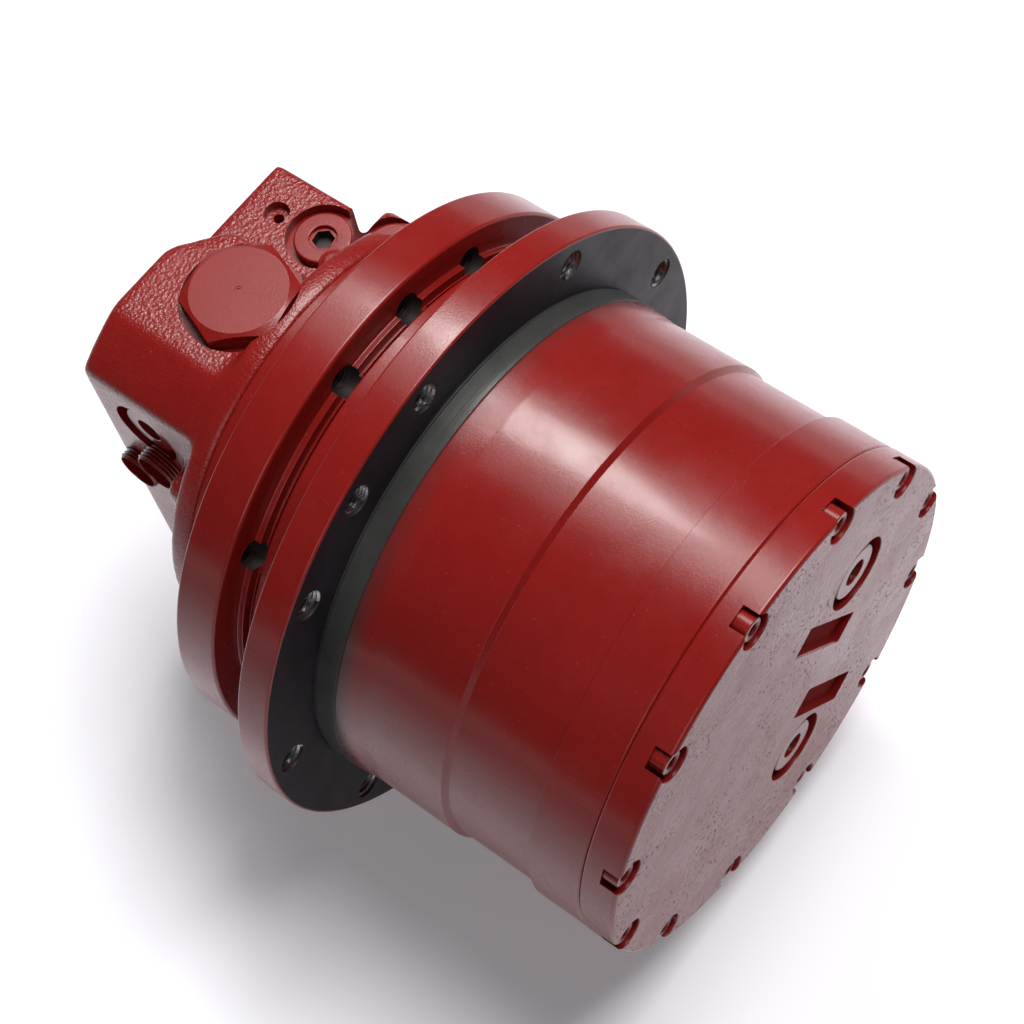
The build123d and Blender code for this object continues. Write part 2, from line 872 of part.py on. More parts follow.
def pivot_pin(side, clearance):
    # The swash plate rocks on two short round pins that lie along X in the spindle's floor
    length = pivot_length + 2 * clearance
    start = (side * pivot_spread - length / 2, swash_pivot, 0)
    return bar(pivot_radius + clearance, start, rightward, length)


def make_swash_plate():
    front = swash_pivot + swash_front_gap
    plate = collar(swash_bore_radius, swash_radius, front, front + swash_thickness)
    plate -= [pivot_pin(side, pivot_fit) for side in (-1, 1)]
    pivot = Pos(0, swash_pivot, 0)
    return pivot * Rot(-swash_tilt, 0, 0) * pivot.inverse() * plate


def make_control_piston():
    # The tip stands just clear of the tilted plate, at the lowest point that its rim meets
    tilt = math.radians(swash_tilt)
    low = control_piston_place - control_piston_radius
    contact = swash_pivot + swash_front_gap / math.cos(tilt) + low * math.tan(tilt)
    tip = contact - brake_plate_gap
    rear = (0, tip, control_piston_place)
    length = tip - cavity_front + control_bore_depth - control_floor_room
    return bar(control_piston_radius, rear, forward, length)


def brake_plate_front(index):
    return brake_front + index * (brake_plate_thickness + brake_plate_gap)


def make_steel_plates():
    plates = []
    for index in range(0, 2 * friction_plate_count + 1, 2):
        front = brake_plate_front(index)
        rear = front + brake_plate_thickness
        plates.append(collar(steel_plate_inner, brake_bore_radius, front, rear))
    return Compound(plates)


def make_friction_plates():
    plates = []
    for index in range(1, 2 * friction_plate_count, 2):
        front = brake_plate_front(index)
        rear = front + brake_plate_thickness
        plates.append(collar(barrel_radius, friction_plate_outer, front, rear))
    return Compound(plates)


def make_brake_piston():
    front = brake_plate_front(2 * friction_plate_count + 1)
    outer = brake_bore_radius - brake_piston_fit
    return collar(brake_piston_inner, outer, front, front + brake_piston_length)


def make_brake_spring():
    # A coned spring ring between the brake piston and the port block's front face
    front = brake_plate_front(2 * friction_plate_count + 1) + brake_piston_length
    inner = brake_piston_inner + disc_spring_inner_step
    outer = brake_bore_radius - disc_spring_outer_step
    return turned(
        (inner, front),
        (inner + disc_spring_thickness, front),
        (outer, motor_recess_floor - disc_spring_thickness),
        (outer, motor_recess_floor),
        (outer - disc_spring_thickness, motor_recess_floor),
        (inner, front + disc_spring_thickness),
    )


def valve_ends():
    # The two ends of the valve bore: the face that a plug seats on and its outward direction
    top = (valve_x, valve_y, valve_boss_top - valve_spot_depth)
    bottom = (valve_x, valve_y, -block_bottom + valve_spot_depth)
    return (top, upward), (bottom, downward)


def make_valve_plug(seat, outward):
    inward = tuple(-part for part in outward)
    chamfer_from = valve_plug_head - valve_plug_chamfer
    corner = valve_plug_hex / math.sqrt(3)
    head = Rot(0, 0, valve_plug_turn) * extrude(
        RegularPolygon(valve_plug_hex / 2, 6, major_radius=False), valve_plug_head
    )
    crown = revolve(
        make_face(
            Plane.XZ
            * Polyline(
                (0, 0),
                (corner, 0),
                (corner, chamfer_from),
                (valve_plug_chamfer_radius, valve_plug_head),
                (0, valve_plug_head),
                close=True,
            )
        ),
        Axis.Z,
    )
    plug = Plane(origin=seat, x_dir=(1, 0, 0), z_dir=outward) * (head & crown)
    plug += bar(valve_plug_thread_radius, seat, inward, valve_plug_thread_length)
    end = tuple(a + valve_plug_thread_length * b for a, b in zip(seat, inward))
    return plug - bar(valve_plug_cavity_radius, end, outward, valve_plug_cavity_depth)


def spool_reach():
    # The spool is centred between the two plugs, with room for its travel at both ends
    (top, _), (bottom, _) = valve_ends()
    middle = (top[2] + bottom[2]) / 2
    half = (top[2] - bottom[2]) / 2 - valve_plug_thread_length - spool_end_room
    return middle, half


def make_spool():
    middle, half = spool_reach()
    radius = valve_bore_radius - spool_clearance
    spool = bar(radius, (valve_x, valve_y, middle - half), upward, 2 * half)
    for side in (-1, 1):
        centre = middle + side * (half - spool_land) / 2
        width = half - spool_land * 1.5
        groove = Cylinder(valve_bore_radius, width) - Cylinder(spool_waist_radius, width)
        spool -= Pos(valve_x, valve_y, centre) * groove
    return spool


def make_spool_springs():
    # Each spring runs from the end of the spool to the floor of the hollow in a plug
    middle, half = spool_reach()
    coil_radius = valve_plug_cavity_radius - spring_wire - spring_fit
    springs = []
    for seat, outward in valve_ends():
        floor = seat[2] - outward[2] * (valve_plug_thread_length - valve_plug_cavity_depth)
        end = middle + outward[2] * half
        low = min(floor, end) + spring_wire
        height = abs(floor - end) - 2 * spring_wire
        path = Helix(height / spring_turns, height, coil_radius, center=(valve_x, valve_y, low))
        section = Plane(origin=path @ 0, z_dir=path % 0) * Rectangle(2 * spring_wire, 2 * spring_wire)
        springs.append(sweep(section, path, is_frenet=True))
    return Compound(springs)


def valve_boss():
    # The raised boss round the valve bore, cut off by the block's round corner on the left
    outline = make_face(
        Polyline(
            (-block_left, housing_shoulder),
            (valve_boss_right, housing_shoulder),
            (valve_boss_right, valve_boss_corner_y),
            (valve_boss_corner_x, block_rear),
            (-block_left, block_rear),
            close=True,
        )
    )
    corners = outline.vertices().sort_by(Axis.X)[2:].filter_by(lambda v: v.Y > housing_shoulder)
    outline = fillet(corners, valve_boss_rounding)
    height = valve_boss_top - block_top / 2
    boss = Pos(0, 0, block_top / 2) * extrude(outline, height)
    return boss & disc(block_radius, housing_shoulder, block_rear)


def lug(x_from, x_to, z_from, z_to, length):
    low = (min(x_from, x_to), housing_shoulder, z_from)
    shape = box_between(low, (max(x_from, x_to), housing_shoulder + length, z_to))
    outer = shape.faces().sort_by(Axis.X)[0 if x_to < 0 else -1]
    top_edge = outer.edges().sort_by(Axis.Z)[-1]
    return chamfer(top_edge, lug_chamfer)


def make_port_block():
    square = disc(block_radius, housing_shoulder, block_rear)
    square &= box_between(
        (-block_left, housing_shoulder, -block_bottom), (block_right, block_rear, block_top)
    )
    rear_edges = square.faces().sort_by(Axis.Y)[-1].edges()
    square = fillet(rear_edges, block_edge)
    body = disc(block_radius, motor_recess_floor, housing_shoulder) + square + valve_boss()
    body += lug(-block_left + casting_root, -left_lug_reach, left_lug_bottom, left_lug_top, left_lug_length)
    body += lug(block_right - casting_root, right_lug_reach, right_lug_bottom, right_lug_top,
                right_lug_length)
    dome_foot = block_top - casting_root
    dome = bar(dome_radius, (dome_x, dome_y, dome_foot), upward, dome_top - dome_foot)
    dome = fillet(dome.edges().sort_by(Axis.Z)[-1], dome_rounding)
    body += dome
    cuts = [
        disc(rear_shaft_bearing_radius, motor_recess_floor, motor_recess_floor + rear_shaft_bearing_width),
        bar(valve_bore_radius, (valve_x, valve_y, -block_bottom), upward, valve_boss_top + block_bottom),
    ]
    for seat, outward in valve_ends():
        inward = tuple(-part for part in outward)
        cuts.append(bar(valve_plug_thread_radius, seat, inward, valve_plug_thread_length))
    for seat, outward in gallery_seats():
        inward = tuple(-part for part in outward)
        cuts.append(bar(plug_thread_radius, seat, inward, plug_thread_length))
    for y, z, reach in port_places:
        seat = -block_left + adapter_seat_depth
        cuts.append(bar(adapter_radius, (seat, y, z), leftward, seat + reach))
        cuts.append(bar(port_passage_radius, (-block_left + port_passage_depth, y, z), leftward,
                        port_passage_depth))
    place = (dowel_hole_x, dowel_hole_y, block_top)
    cuts.append(bar(dowel_mouth_radius, place, downward, dowel_mouth_depth))
    cuts.append(bar(dowel_hole_radius, place, downward, dowel_hole_depth))
    place = (-block_left, drain_hole_y, drain_hole_z)
    cuts.append(bar(drain_hole_radius, place, rightward, drain_hole_depth))
    for angle in long_bolt_angles:
        place = on_circle(long_bolt_circle, angle, block_rear)
        cuts.append(bar(long_bolt_radius, place, forward, block_rear - motor_recess_floor))
        cuts.append(bar(long_bolt_head_radius, place, forward, long_bolt_head))
    return body - cuts - spot_faces()


def gallery_seats():
    # Seats of the small plugs: centre of the spot face and outward direction
    top = (upper_plug_x, upper_plug_y, block_top - gallery_spot_depth)
    side = (-block_left + side_spot_depth + plug_flange, side_plug_y, side_plug_z)
    lug_top = (right_lug_spot_x, right_lug_spot_y, right_lug_top - gallery_spot_depth)
    return (top, upward), (side, leftward), (lug_top, upward)


def spot_faces():
    # Cutters for the turned seats of all plugs; they run out past the castings
    cutters = [bar(valve_spot_radius, *end, spot_reach) for end in valve_ends()]
    return cutters + [bar(gallery_spot_radius, *seat, spot_reach) for seat in gallery_seats()]


def make_adapters():
    adapters = []
    for y, z, reach in port_places:
        inner_end = (-block_left + adapter_seat_depth, y, z)
        length = reach - block_left + adapter_seat_depth
        pipe = bar(adapter_radius, inner_end, leftward, length)
        adapters.append(pipe - bar(adapter_bore_radius, inner_end, leftward, length))
    return Compound(adapters)


def make_long_bolts():
    bolts = []
    seat = block_rear - long_bolt_head
    for angle in long_bolt_angles:
        place = on_circle(long_bolt_circle, angle, seat)
        top = on_circle(long_bolt_circle, angle, block_rear)
        bolt = bar(long_bolt_head_radius, place, backward, long_bolt_head)
        bolt += bar(long_bolt_radius, place, forward, seat - motor_recess_floor + long_bolt_grip)
        bolts.append(bolt - hex_socket(long_bolt_socket, top, forward, long_bolt_head / 2))
    return Compound(bolts)


nodes = {
    "hub": make_hub(),
    "ring_gear": make_ring_gear(),
    "cover": make_cover(),
    "cover_screws": make_cover_screws(),
    "cover_plugs": make_cover_plugs(),
    "cover_seal": make_cover_seal(),
    "thrust_pad": make_thrust_pad(),
    "bearing_outer_rear": make_bearing_ring(rear_bearing_front, 1, 1),
    "bearing_outer_front": make_bearing_ring(spindle_nose, -1, 1),
    "bearing_inner_rear": make_bearing_ring(rear_bearing_front, 1, -1),
    "bearing_inner_front": make_bearing_ring(spindle_nose, -1, -1),
    "bearing_rollers_rear": make_rollers(rear_bearing_front, 1),
    "bearing_rollers_front": make_rollers(spindle_nose, -1),
    "seal_ring_hub": make_seal_ring(-1),
    "seal_ring_frame": make_seal_ring(1),
    "seal_rubber_hub": make_seal_rubber(-1),
    "seal_rubber_frame": make_seal_rubber(1),
    "spindle_housing": make_spindle(),
    "second_carrier": make_second_carrier(),
    "carrier_bolts": make_carrier_bolts(),
    "planet_pins_2": make_pins(planet_2_count, planet_2_start, planet_2_distance, pin_2_radius,
                               planet_2_front - pin_overhang, spindle_nose),
    "first_carrier": make_first_carrier(),
    "planet_pins_1": make_pins(planet_1_count, planet_1_start, planet_1_distance, pin_1_radius,
                               planet_1_front - pin_overhang, carrier_1_rear),
    "second_sun_gear": make_second_sun(),
    "first_sun_gear": make_first_sun(),
    "motor_shaft": make_motor_shaft(),
    "shaft_seal": collar(shaft_nose_radius + shaft_fit, shaft_seal_radius,
                         cavity_front - front_shaft_bearing_width - shaft_seal_width,
                         cavity_front - front_shaft_bearing_width),
    "shaft_bearing_front": collar(shaft_radius + shaft_fit, front_shaft_bearing_radius,
                                  cavity_front - front_shaft_bearing_width, cavity_front),
    "shaft_bearing_rear": collar(shaft_radius + shaft_fit, rear_shaft_bearing_radius,
                                 motor_recess_floor, motor_recess_floor + rear_shaft_bearing_width),
    "cylinder_block": make_barrel(),
    "pistons": make_pistons(),
    "piston_shoes": make_shoes(),
    "retainer_plate": make_retainer(),
    "valve_plate": make_valve_plate(),
    "pivot_pins": Compound([pivot_pin(side, 0) for side in (-1, 1)]),
    "swash_plate": make_swash_plate(),
    "swash_piston": make_control_piston(),
    "steel_plates": make_steel_plates(),
    "friction_plates": make_friction_plates(),
    "brake_piston": make_brake_piston(),
    "brake_spring": make_brake_spring(),
    "port_block": make_port_block(),
    "port_block_bolts": make_long_bolts(),
    "spool_plug_top": make_valve_plug(*valve_ends()[0]),
    "spool_plug_bottom": make_valve_plug(*valve_ends()[1]),
    "counterbalance_spool": make_spool(),
    "spool_springs": make_spool_springs(),
    "gallery_plugs": Compound([socket_plug(*seat) for seat in gallery_seats()]),
    "port_adapters": make_adapters(),
}
for index, angle in enumerate(steps(planet_1_count, planet_1_start), 1):
    nodes[f"first_planet_{index}"] = make_planet(
        planet_1_teeth, planet_1_distance, angle, pin_1_radius + pin_fit, planet_1_front, planet_1_rear
    )
for index, angle in enumerate(steps(planet_2_count, planet_2_start), 1):
    nodes[f"second_planet_{index}"] = make_planet(
        planet_2_teeth, planet_2_distance, angle, pin_2_radius + pin_fit, planet_2_front, planet_2_rear
    )

os.makedirs("parts", exist_ok=True)
for name, shape in nodes.items():
    export_step(shape, f"parts/{name}.step")
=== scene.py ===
import math
from types import SimpleNamespace

import bmesh
import bpy
from mathutils import Matrix, Vector


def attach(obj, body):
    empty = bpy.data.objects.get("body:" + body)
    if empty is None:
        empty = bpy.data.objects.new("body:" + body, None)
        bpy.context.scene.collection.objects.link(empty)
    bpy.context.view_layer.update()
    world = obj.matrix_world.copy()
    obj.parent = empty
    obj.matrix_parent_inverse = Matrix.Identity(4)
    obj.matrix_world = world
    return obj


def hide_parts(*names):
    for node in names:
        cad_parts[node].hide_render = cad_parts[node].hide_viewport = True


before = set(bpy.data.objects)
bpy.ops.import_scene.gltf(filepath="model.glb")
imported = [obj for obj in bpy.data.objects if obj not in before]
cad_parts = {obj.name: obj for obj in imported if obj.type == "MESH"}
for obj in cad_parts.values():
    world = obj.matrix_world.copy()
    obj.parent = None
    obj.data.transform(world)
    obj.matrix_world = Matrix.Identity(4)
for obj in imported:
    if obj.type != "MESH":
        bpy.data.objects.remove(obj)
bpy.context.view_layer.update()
print("frame loaded")

mm = 0.001
forward = Vector((0, -1, 0))   # towards the end cover
backward = Vector((0, 1, 0))   # towards the motor
upward = Vector((0, 0, 1))
leftward = Vector((-1, 0, 0))


def named(sizes):
    # A dictionary's values as attributes
    return SimpleNamespace(**sizes)


# Shader maths: a wire is a socket whose arithmetic adds Math nodes

class Wire:
    def __init__(self, finish, socket):
        self.finish = finish
        self.socket = socket

    def mathWith(self, operation, first, second):
        return self.finish.node("ShaderNodeMath", {"operation": operation}, {0: first, 1: second})

    def __add__(self, other):
        return self.mathWith("ADD", self, other)

    def __sub__(self, other):
        return self.mathWith("SUBTRACT", self, other)

    def __rsub__(self, other):
        return self.mathWith("SUBTRACT", other, self)

    def __mul__(self, other):
        return self.mathWith("MULTIPLY", self, other)


class Finish:
    # One material and its node tree
    def __init__(self, name):
        self.material = bpy.data.materials.new(name)
        self.material.use_nodes = True
        self.tree = self.material.node_tree
        self.tree.nodes.clear()
        self.place = self.node("ShaderNodeTexCoord", output="Object")

    def node(self, kind, settings=None, sockets=None, output=0):
        made = self.tree.nodes.new(kind)
        for key, value in (settings or {}).items():
            setattr(made, key, value)
        for key, value in (sockets or {}).items():
            if isinstance(value, Wire):
                self.tree.links.new(value.socket, made.inputs[key])
            else:
                made.inputs[key].default_value = value
        return Wire(self, made.outputs[output]) if made.outputs else None

    def several(self, outputs, kind, settings=None, sockets=None):
        # Several outputs of one node
        made = self.node(kind, settings, sockets).socket.node
        return [Wire(self, made.outputs[name]) for name in outputs]

    def parts(self):
        return self.several((0, 1, 2), "ShaderNodeSeparateXYZ", None, {0: self.place})

    def root(self, value):
        return self.node("ShaderNodeMath", {"operation": "SQRT"}, {0: value})

    def noise(self, scale, detail=2.0, roughness=0.5, distortion=0.0):
        return self.node("ShaderNodeTexNoise", None, {
            "Scale": scale, "Detail": detail, "Roughness": roughness, "Distortion": distortion,
            "Vector": self.place})

    def cells(self, scale, outputs=("Distance",)):
        return self.several(outputs, "ShaderNodeTexVoronoi", None, {"Scale": scale, "Vector": self.place})

    def ramp(self, value, low, high, fromLow=0.0, fromHigh=1.0):
        return self.node("ShaderNodeMapRange", {"clamp": True}, {
            "Value": value, "From Min": fromLow, "From Max": fromHigh, "To Min": low, "To Max": high})

    def mix(self, factor, first, second):
        return self.node("ShaderNodeMix", {"data_type": "RGBA"}, {
            "Factor": factor, "A": self.colour(first), "B": self.colour(second)}, output="Result")

    def colour(self, value):
        return value if isinstance(value, Wire) else (*value, 1)

    def bump(self, height, distance, normal=None):
        sockets = {"Height": height, "Distance": distance}
        if normal:
            sockets["Normal"] = normal
        return self.node("ShaderNodeBump", None, sockets)

    def surface(self, **sockets):
        shader = self.node("ShaderNodeBsdfPrincipled", None, {
            key.replace("_", " "): value for key, value in sockets.items()})
        self.node("ShaderNodeOutputMaterial", None, {"Surface": shader})
        return self.material


# Materials

paint = named({
    "red": (0.190, 0.0078, 0.0058),
    "deepRed": (0.155, 0.0062, 0.0046),
    "dust": (0.42, 0.20, 0.17),
    # shade is the dark red of the painted shade inside pinholes
    "shade": (0.05, 0.006, 0.006),
    "primer": (0.030, 0.026, 0.024),
    "roughness": 0.25,
    "specular": 0.34,
    "coat": 0.12,
    "coatRoughness": 0.10,
    "peelScale": 1300,
    "dustScale": 260,
    "dustSize": (0.035, 0.06),
    "dustShare": 0.35,
    "fadeShare": 0.92,
    "fadeHeights": (0.055, 0.100),
})
# Each kind of pinhole has the scale of its cells and the grey below which a cell has one
pinholes = named({
    "kinds": ((430, 0.40), (760, 0.42)), "size": (0.14, 0.30), "crowd": (0.48, 0.62), "rim": 0.10,
})


def redPaint(name, peel=0.00004, pits=0.0, grain=0.0, grainScale=0, fade=None,
             roughness=paint.roughness, specular=paint.specular, coat=paint.coat):
    # Semi-gloss red enamel: peel is its orange skin, pits are pinholes darkened with painted shade, grain is
    # the casting below, and fade holds the two Y places between which the spray thins out to dark iron, less
    # so on top
    finish = Finish(name)
    cloud = finish.noise(9, 4, 0.6)
    fine = finish.noise(160, 3, 0.6)
    tone = finish.ramp(cloud * 0.7 + fine * 0.3, 0.0, 1.0, 0.35, 0.65)
    colour = finish.mix(tone, paint.deepRed, paint.red)
    dust, = finish.cells(paint.dustScale)
    speck = finish.ramp(dust, 1.0, 0.0, *paint.dustSize)
    colour = finish.mix(speck * paint.dustShare, colour, paint.dust)
    across, along, up = finish.parts()
    if fade:
        edge = along + (finish.noise(30, 3, 0.6) - 0.5) * 0.003
        shade = (finish.ramp(edge, 0.0, paint.fadeShare, *fade)
                 * finish.ramp(up, 1.0, 0.25, *paint.fadeHeights))
        colour = finish.mix(shade, colour, paint.primer)
    gloss = finish.ramp(finish.noise(45, 4, 0.65), roughness - 0.05, roughness + 0.07, 0.3, 0.7)
    normal = finish.bump(finish.noise(paint.peelScale, 2, 0.5), peel)
    if grain:
        lumps = finish.noise(grainScale, 3, 0.62, distortion=0.6)
        cells = finish.node("ShaderNodeTexVoronoi", {"feature": "SMOOTH_F1"}, {
            "Scale": grainScale * 0.9, "Vector": finish.place, "Smoothness": 0.6})
        normal = finish.bump(lumps * 0.65 + cells * 0.6, grain, normal)
    if pits:
        # Pinholes come in patches, a little thicker towards the rim
        radius = finish.root(across * across + up * up)
        crowd = finish.ramp(radius, 0.0, pinholes.rim, 0.040, 0.100) + finish.noise(26, 3, 0.6)
        patch = finish.ramp(crowd, 0.0, 1.0, *pinholes.crowd)
        shine = coat
        for scale, grey in pinholes.kinds:
            holes, draws = finish.cells(scale, ("Distance", "Color"))
            chosen = finish.ramp(draws, 1.0, 0.0, grey, grey + 0.03)
            sunk = finish.ramp(holes, 1.0, 0.0, *pinholes.size) * chosen * patch
            normal = finish.bump(1 - sunk, pits * 300 / scale, normal)
            # Painted shade: each pinhole's colour is darkened towards paint.shade
            colour = finish.mix(sunk * 0.7, colour, paint.shade)
            gloss = gloss + sunk * 0.5
            shine = (1 - sunk) * shine
        coat = shine
    return finish.surface(Base_Color=colour, Roughness=gloss, Normal=normal, Coat_Weight=coat,
                          Coat_Roughness=paint.coatRoughness, Specular_IOR_Level=specular)


def bareIron(name, colour, light, roughness, specular, metallic):
    # Oiled machined iron, with faint rings from the lathe about the Y axis
    finish = Finish(name)
    cloud = finish.noise(28, 5, 0.65)
    smear = finish.noise(7, 3, 0.5)
    tone = finish.ramp(cloud * 0.6 + smear * 0.4, 0.0, 1.0, 0.36, 0.64)
    base = finish.mix(tone, colour, light)
    gloss = finish.ramp(finish.noise(60, 4, 0.7), roughness - 0.07, roughness + 0.09, 0.3, 0.7)
    x, y, z = finish.parts()
    turned = finish.node("ShaderNodeCombineXYZ", None, {0: finish.root(x * x + z * z), 1: y, 2: 0.0})
    rings = finish.node("ShaderNodeTexNoise", {"noise_dimensions": "2D"}, {
        "Scale": 2400.0, "Detail": 2.0, "Vector": turned})
    normal = finish.bump(rings, 0.00004)
    normal = finish.bump(finish.noise(900, 3, 0.6), 0.00002, normal)
    return finish.surface(Base_Color=base, Roughness=gloss, Normal=normal, Metallic=metallic,
                          Specular_IOR_Level=specular)


def machinedMetal(name, colour, light, roughness, metallic=1.0):
    # Plain machined metal for the pieces inside
    finish = Finish(name)
    cloud = finish.noise(31.2, 4, 0.6)
    tone = finish.ramp(cloud, 0.0, 1.0, 0.35, 0.65)
    base = finish.mix(tone, colour, light)
    gloss = finish.ramp(finish.noise(130, 3, 0.6), roughness - 0.06, roughness + 0.08, 0.3, 0.7)
    normal = finish.bump(finish.noise(1300, 2, 0.5), 0.00002)
    return finish.surface(Base_Color=base, Roughness=gloss, Normal=normal, Metallic=metallic)


def softRubber(name):
    finish = Finish(name)
    tone = finish.ramp(finish.noise(60, 4, 0.6), 0.0, 1.0, 0.35, 0.65)
    base = finish.mix(tone, (0.012, 0.012, 0.013), (0.028, 0.027, 0.027))
    gloss = finish.ramp(finish.noise(200, 3, 0.6), 0.5, 0.68, 0.3, 0.7)
    return finish.surface(Base_Color=base, Roughness=gloss, Normal=finish.bump(finish.noise(1500), 0.00003))


finishes = {
    "drum": redPaint("drumPaint"),
    "neck": redPaint("neckPaint", fade=(-0.0180, -0.0105)),
    "cover": redPaint("coverPaint", pits=0.00040, grain=0.00022, grainScale=800, specular=0.30, coat=0.05),
    "pocket": redPaint("pocketPaint", grain=0.00030, grainScale=900, roughness=0.9, specular=0.05, coat=0.0),
    "casting": redPaint("castingPaint", grain=0.00052, grainScale=760, roughness=0.25, specular=0.5),
    "turned": redPaint("turnedPaint"),
    "band": redPaint("bandPaint", grain=0.00022, grainScale=1100),
    "fitting": redPaint("fittingPaint", peel=0.00005),
    "flangeFace": bareIron("flangeIron", (0.015, 0.012, 0.015), (0.034, 0.028, 0.034), 0.38, 0.09, 0.15),
    "pilot": bareIron("pilotIron", (0.045, 0.043, 0.042), (0.070, 0.070, 0.066), 0.30, 0.35, 0.4),
    "thread": machinedMetal("threadSteel", (0.20, 0.19, 0.19), (0.34, 0.33, 0.33), 0.30),
    # A darker copy of the thread steel for the frame flange's holes: dark red steel, darkened further as
    # painted shade
    "paintedShadeThread": machinedMetal("paintedShadeThreadSteel", (0.045, 0.030, 0.030), (0.085, 0.060, 0.060), 0.38, 0.7),
    # bore: bare metal of holes, sockets and bores, made near black as painted shade
    "bore": machinedMetal("paintedShadeBore", (0.014, 0.008, 0.008), (0.024, 0.014, 0.013), 0.6, 0.3),
    "steel": machinedMetal("plainSteel", (0.42, 0.42, 0.43), (0.56, 0.56, 0.57), 0.30),
    "gear": machinedMetal("gearSteel", (0.34, 0.34, 0.36), (0.46, 0.46, 0.48), 0.27),
    "iron": machinedMetal("machinedIron", (0.20, 0.20, 0.20), (0.30, 0.30, 0.30), 0.42),
    "bronze": machinedMetal("bearingBronze", (0.55, 0.36, 0.13), (0.68, 0.48, 0.20), 0.34),
    "lining": machinedMetal("frictionLining", (0.09, 0.07, 0.06), (0.15, 0.12, 0.10), 0.62, 0.2),
    "rubber": softRubber("sealRubber"),
}
print("materials made")


# Mesh helpers; outlines are (radius, y) points in millimetres

def roundedOutline(corners, steps=4):
    # Each corner is (radius, y, rounding)
    points = []
    count = len(corners)
    for index, (radius, y, rounding) in enumerate(corners):
        here = Vector((radius, y))
        if not rounding:
            points.append(here)
            continue
        before = (Vector(corners[index - 1][:2]) - here).normalized()
        after = (Vector(corners[(index + 1) % count][:2]) - here).normalized()
        half = before.angle(after) / 2
        reach = rounding / math.tan(half)
        middle = here + (before + after).normalized() * rounding / math.sin(half)
        start = here + before * reach - middle
        end = here + after * reach - middle
        for step in range(steps + 1):
            share = step / steps
            points.append(middle + start.lerp(end, share).normalized() * rounding)
    return [(p.x, p.y) for p in points]


def finished(name, shape):
    # A bmesh in metres becomes an object at the origin
    mesh = bpy.data.meshes.new(name)
    shape.to_mesh(mesh)
    shape.free()
    piece = bpy.data.objects.new(name, mesh)
    bpy.context.scene.collection.objects.link(piece)
    return piece


def bridgeRings(shape, rings):
    # Faces between neighbouring rings of points; a ring at a pole repeats one point
    for first, second in zip(rings, rings[1:]):
        for step in range(len(first)):
            corners = list(dict.fromkeys([first[step], first[step - 1], second[step - 1], second[step]]))
            if len(corners) > 2:
                shape.faces.new(corners)


def spinShape(name, outline, segments=192):
    # Turns a closed outline about the Y axis; a point on the axis becomes a pole
    shape = bmesh.new()
    rings = []
    for radius, y in outline:
        if radius < 1e-6:
            rings.append([shape.verts.new((0, y * mm, 0))] * segments)
            continue
        ring = []
        for step in range(segments):
            angle = 2 * math.pi * step / segments
            x, z = radius * mm * math.cos(angle), radius * mm * math.sin(angle)
            ring.append(shape.verts.new((x, y * mm, z)))
        rings.append(ring)
    bridgeRings(shape, rings + rings[:1])
    bmesh.ops.recalc_face_normals(shape, faces=shape.faces)
    return finished(name, shape)


def onCircle(radius, angle, y=0.0):
    turn = math.radians(angle)
    return Vector((radius * math.cos(turn), y, radius * math.sin(turn)))


def addBar(shape, start, direction, length, radius, endRadius=None, segments=40, turn=0.0):
    # Adds a closed round or many-sided bar to a bmesh; sizes in millimetres
    direction = Vector(direction).normalized()
    middle = Vector(start) + direction * length / 2
    rotation = direction.to_track_quat("Z", "Y").to_matrix().to_4x4()
    matrix = Matrix.Translation(middle * mm) @ rotation @ Matrix.Rotation(math.radians(turn), 4, "Z")
    bmesh.ops.create_cone(shape, cap_ends=True, segments=segments, radius1=radius * mm,
                          radius2=(radius if endRadius is None else endRadius) * mm,
                          depth=length * mm, matrix=matrix)


def addHexBar(shape, start, direction, length, flat, turn=0.0):
    # A hexagonal bar; flat is half its width across flats
    addBar(shape, start, direction, length, flat / math.cos(math.pi / 6), segments=6, turn=turn)


def addDomedCut(shape, start, direction, depth, radius, rim, segments=48):
    # A round pocket cutter whose mouth opens out by a small rounded rim
    direction = Vector(direction).normalized()
    profile = [(0, -depth), (radius, -depth), (radius, -rim)]
    for step in range(1, 5):
        angle = math.pi / 2 * step / 4
        profile.append((radius + rim * (1 - math.cos(angle)), -rim * (1 - math.sin(angle))))
    profile += [(radius + rim, 4), (0, 4)]
    rotation = direction.to_track_quat("Z", "Y").to_matrix()
    rings = []
    for reach, height in profile:
        if reach < 1e-6:
            rings.append([shape.verts.new((Vector(start) + direction * height) * mm)] * segments)
            continue
        ring = []
        for step in range(segments):
            angle = 2 * math.pi * step / segments
            local = Vector((reach * math.cos(angle), reach * math.sin(angle), height))
            ring.append(shape.verts.new((Vector(start) + rotation @ local) * mm))
        rings.append(ring)
    bridgeRings(shape, rings)


def evaluated(piece):
    # The piece's modifiers become its mesh
    graph = bpy.context.evaluated_depsgraph_get()
    mesh = bpy.data.meshes.new_from_object(piece.evaluated_get(graph))
    old = piece.data
    piece.modifiers.clear()
    piece.data = mesh
    bpy.data.meshes.remove(old)
    return piece


def cutAway(piece, cutter, operation="DIFFERENCE", selfCrossing=True):
    change = piece.modifiers.new("cut", "BOOLEAN")
    change.operation = operation
    change.solver = "EXACT"
    change.use_self = selfCrossing
    change.object = cutter
    evaluated(piece)
    bpy.data.objects.remove(cutter)
    return piece


def shaded(piece, sharpAngle=32, weighted=True):
    # Smooth shading with hard edges kept, and flat faces kept flat
    for face in piece.data.polygons:
        face.use_smooth = True
    piece.data.set_sharp_from_angle(angle=math.radians(sharpAngle))
    if weighted:
        change = piece.modifiers.new("weights", "WEIGHTED_NORMAL")
        change.keep_sharp = True
        change.weight = 80
        evaluated(piece)
    return piece


def moved(piece, place, axis, outward):
    # Turns a piece from one axis to another and sets it at a place in millimetres
    turn = axis.rotation_difference(Vector(outward)).to_matrix().to_4x4()
    piece.data.transform(Matrix.Translation(Vector(place) * mm) @ turn)


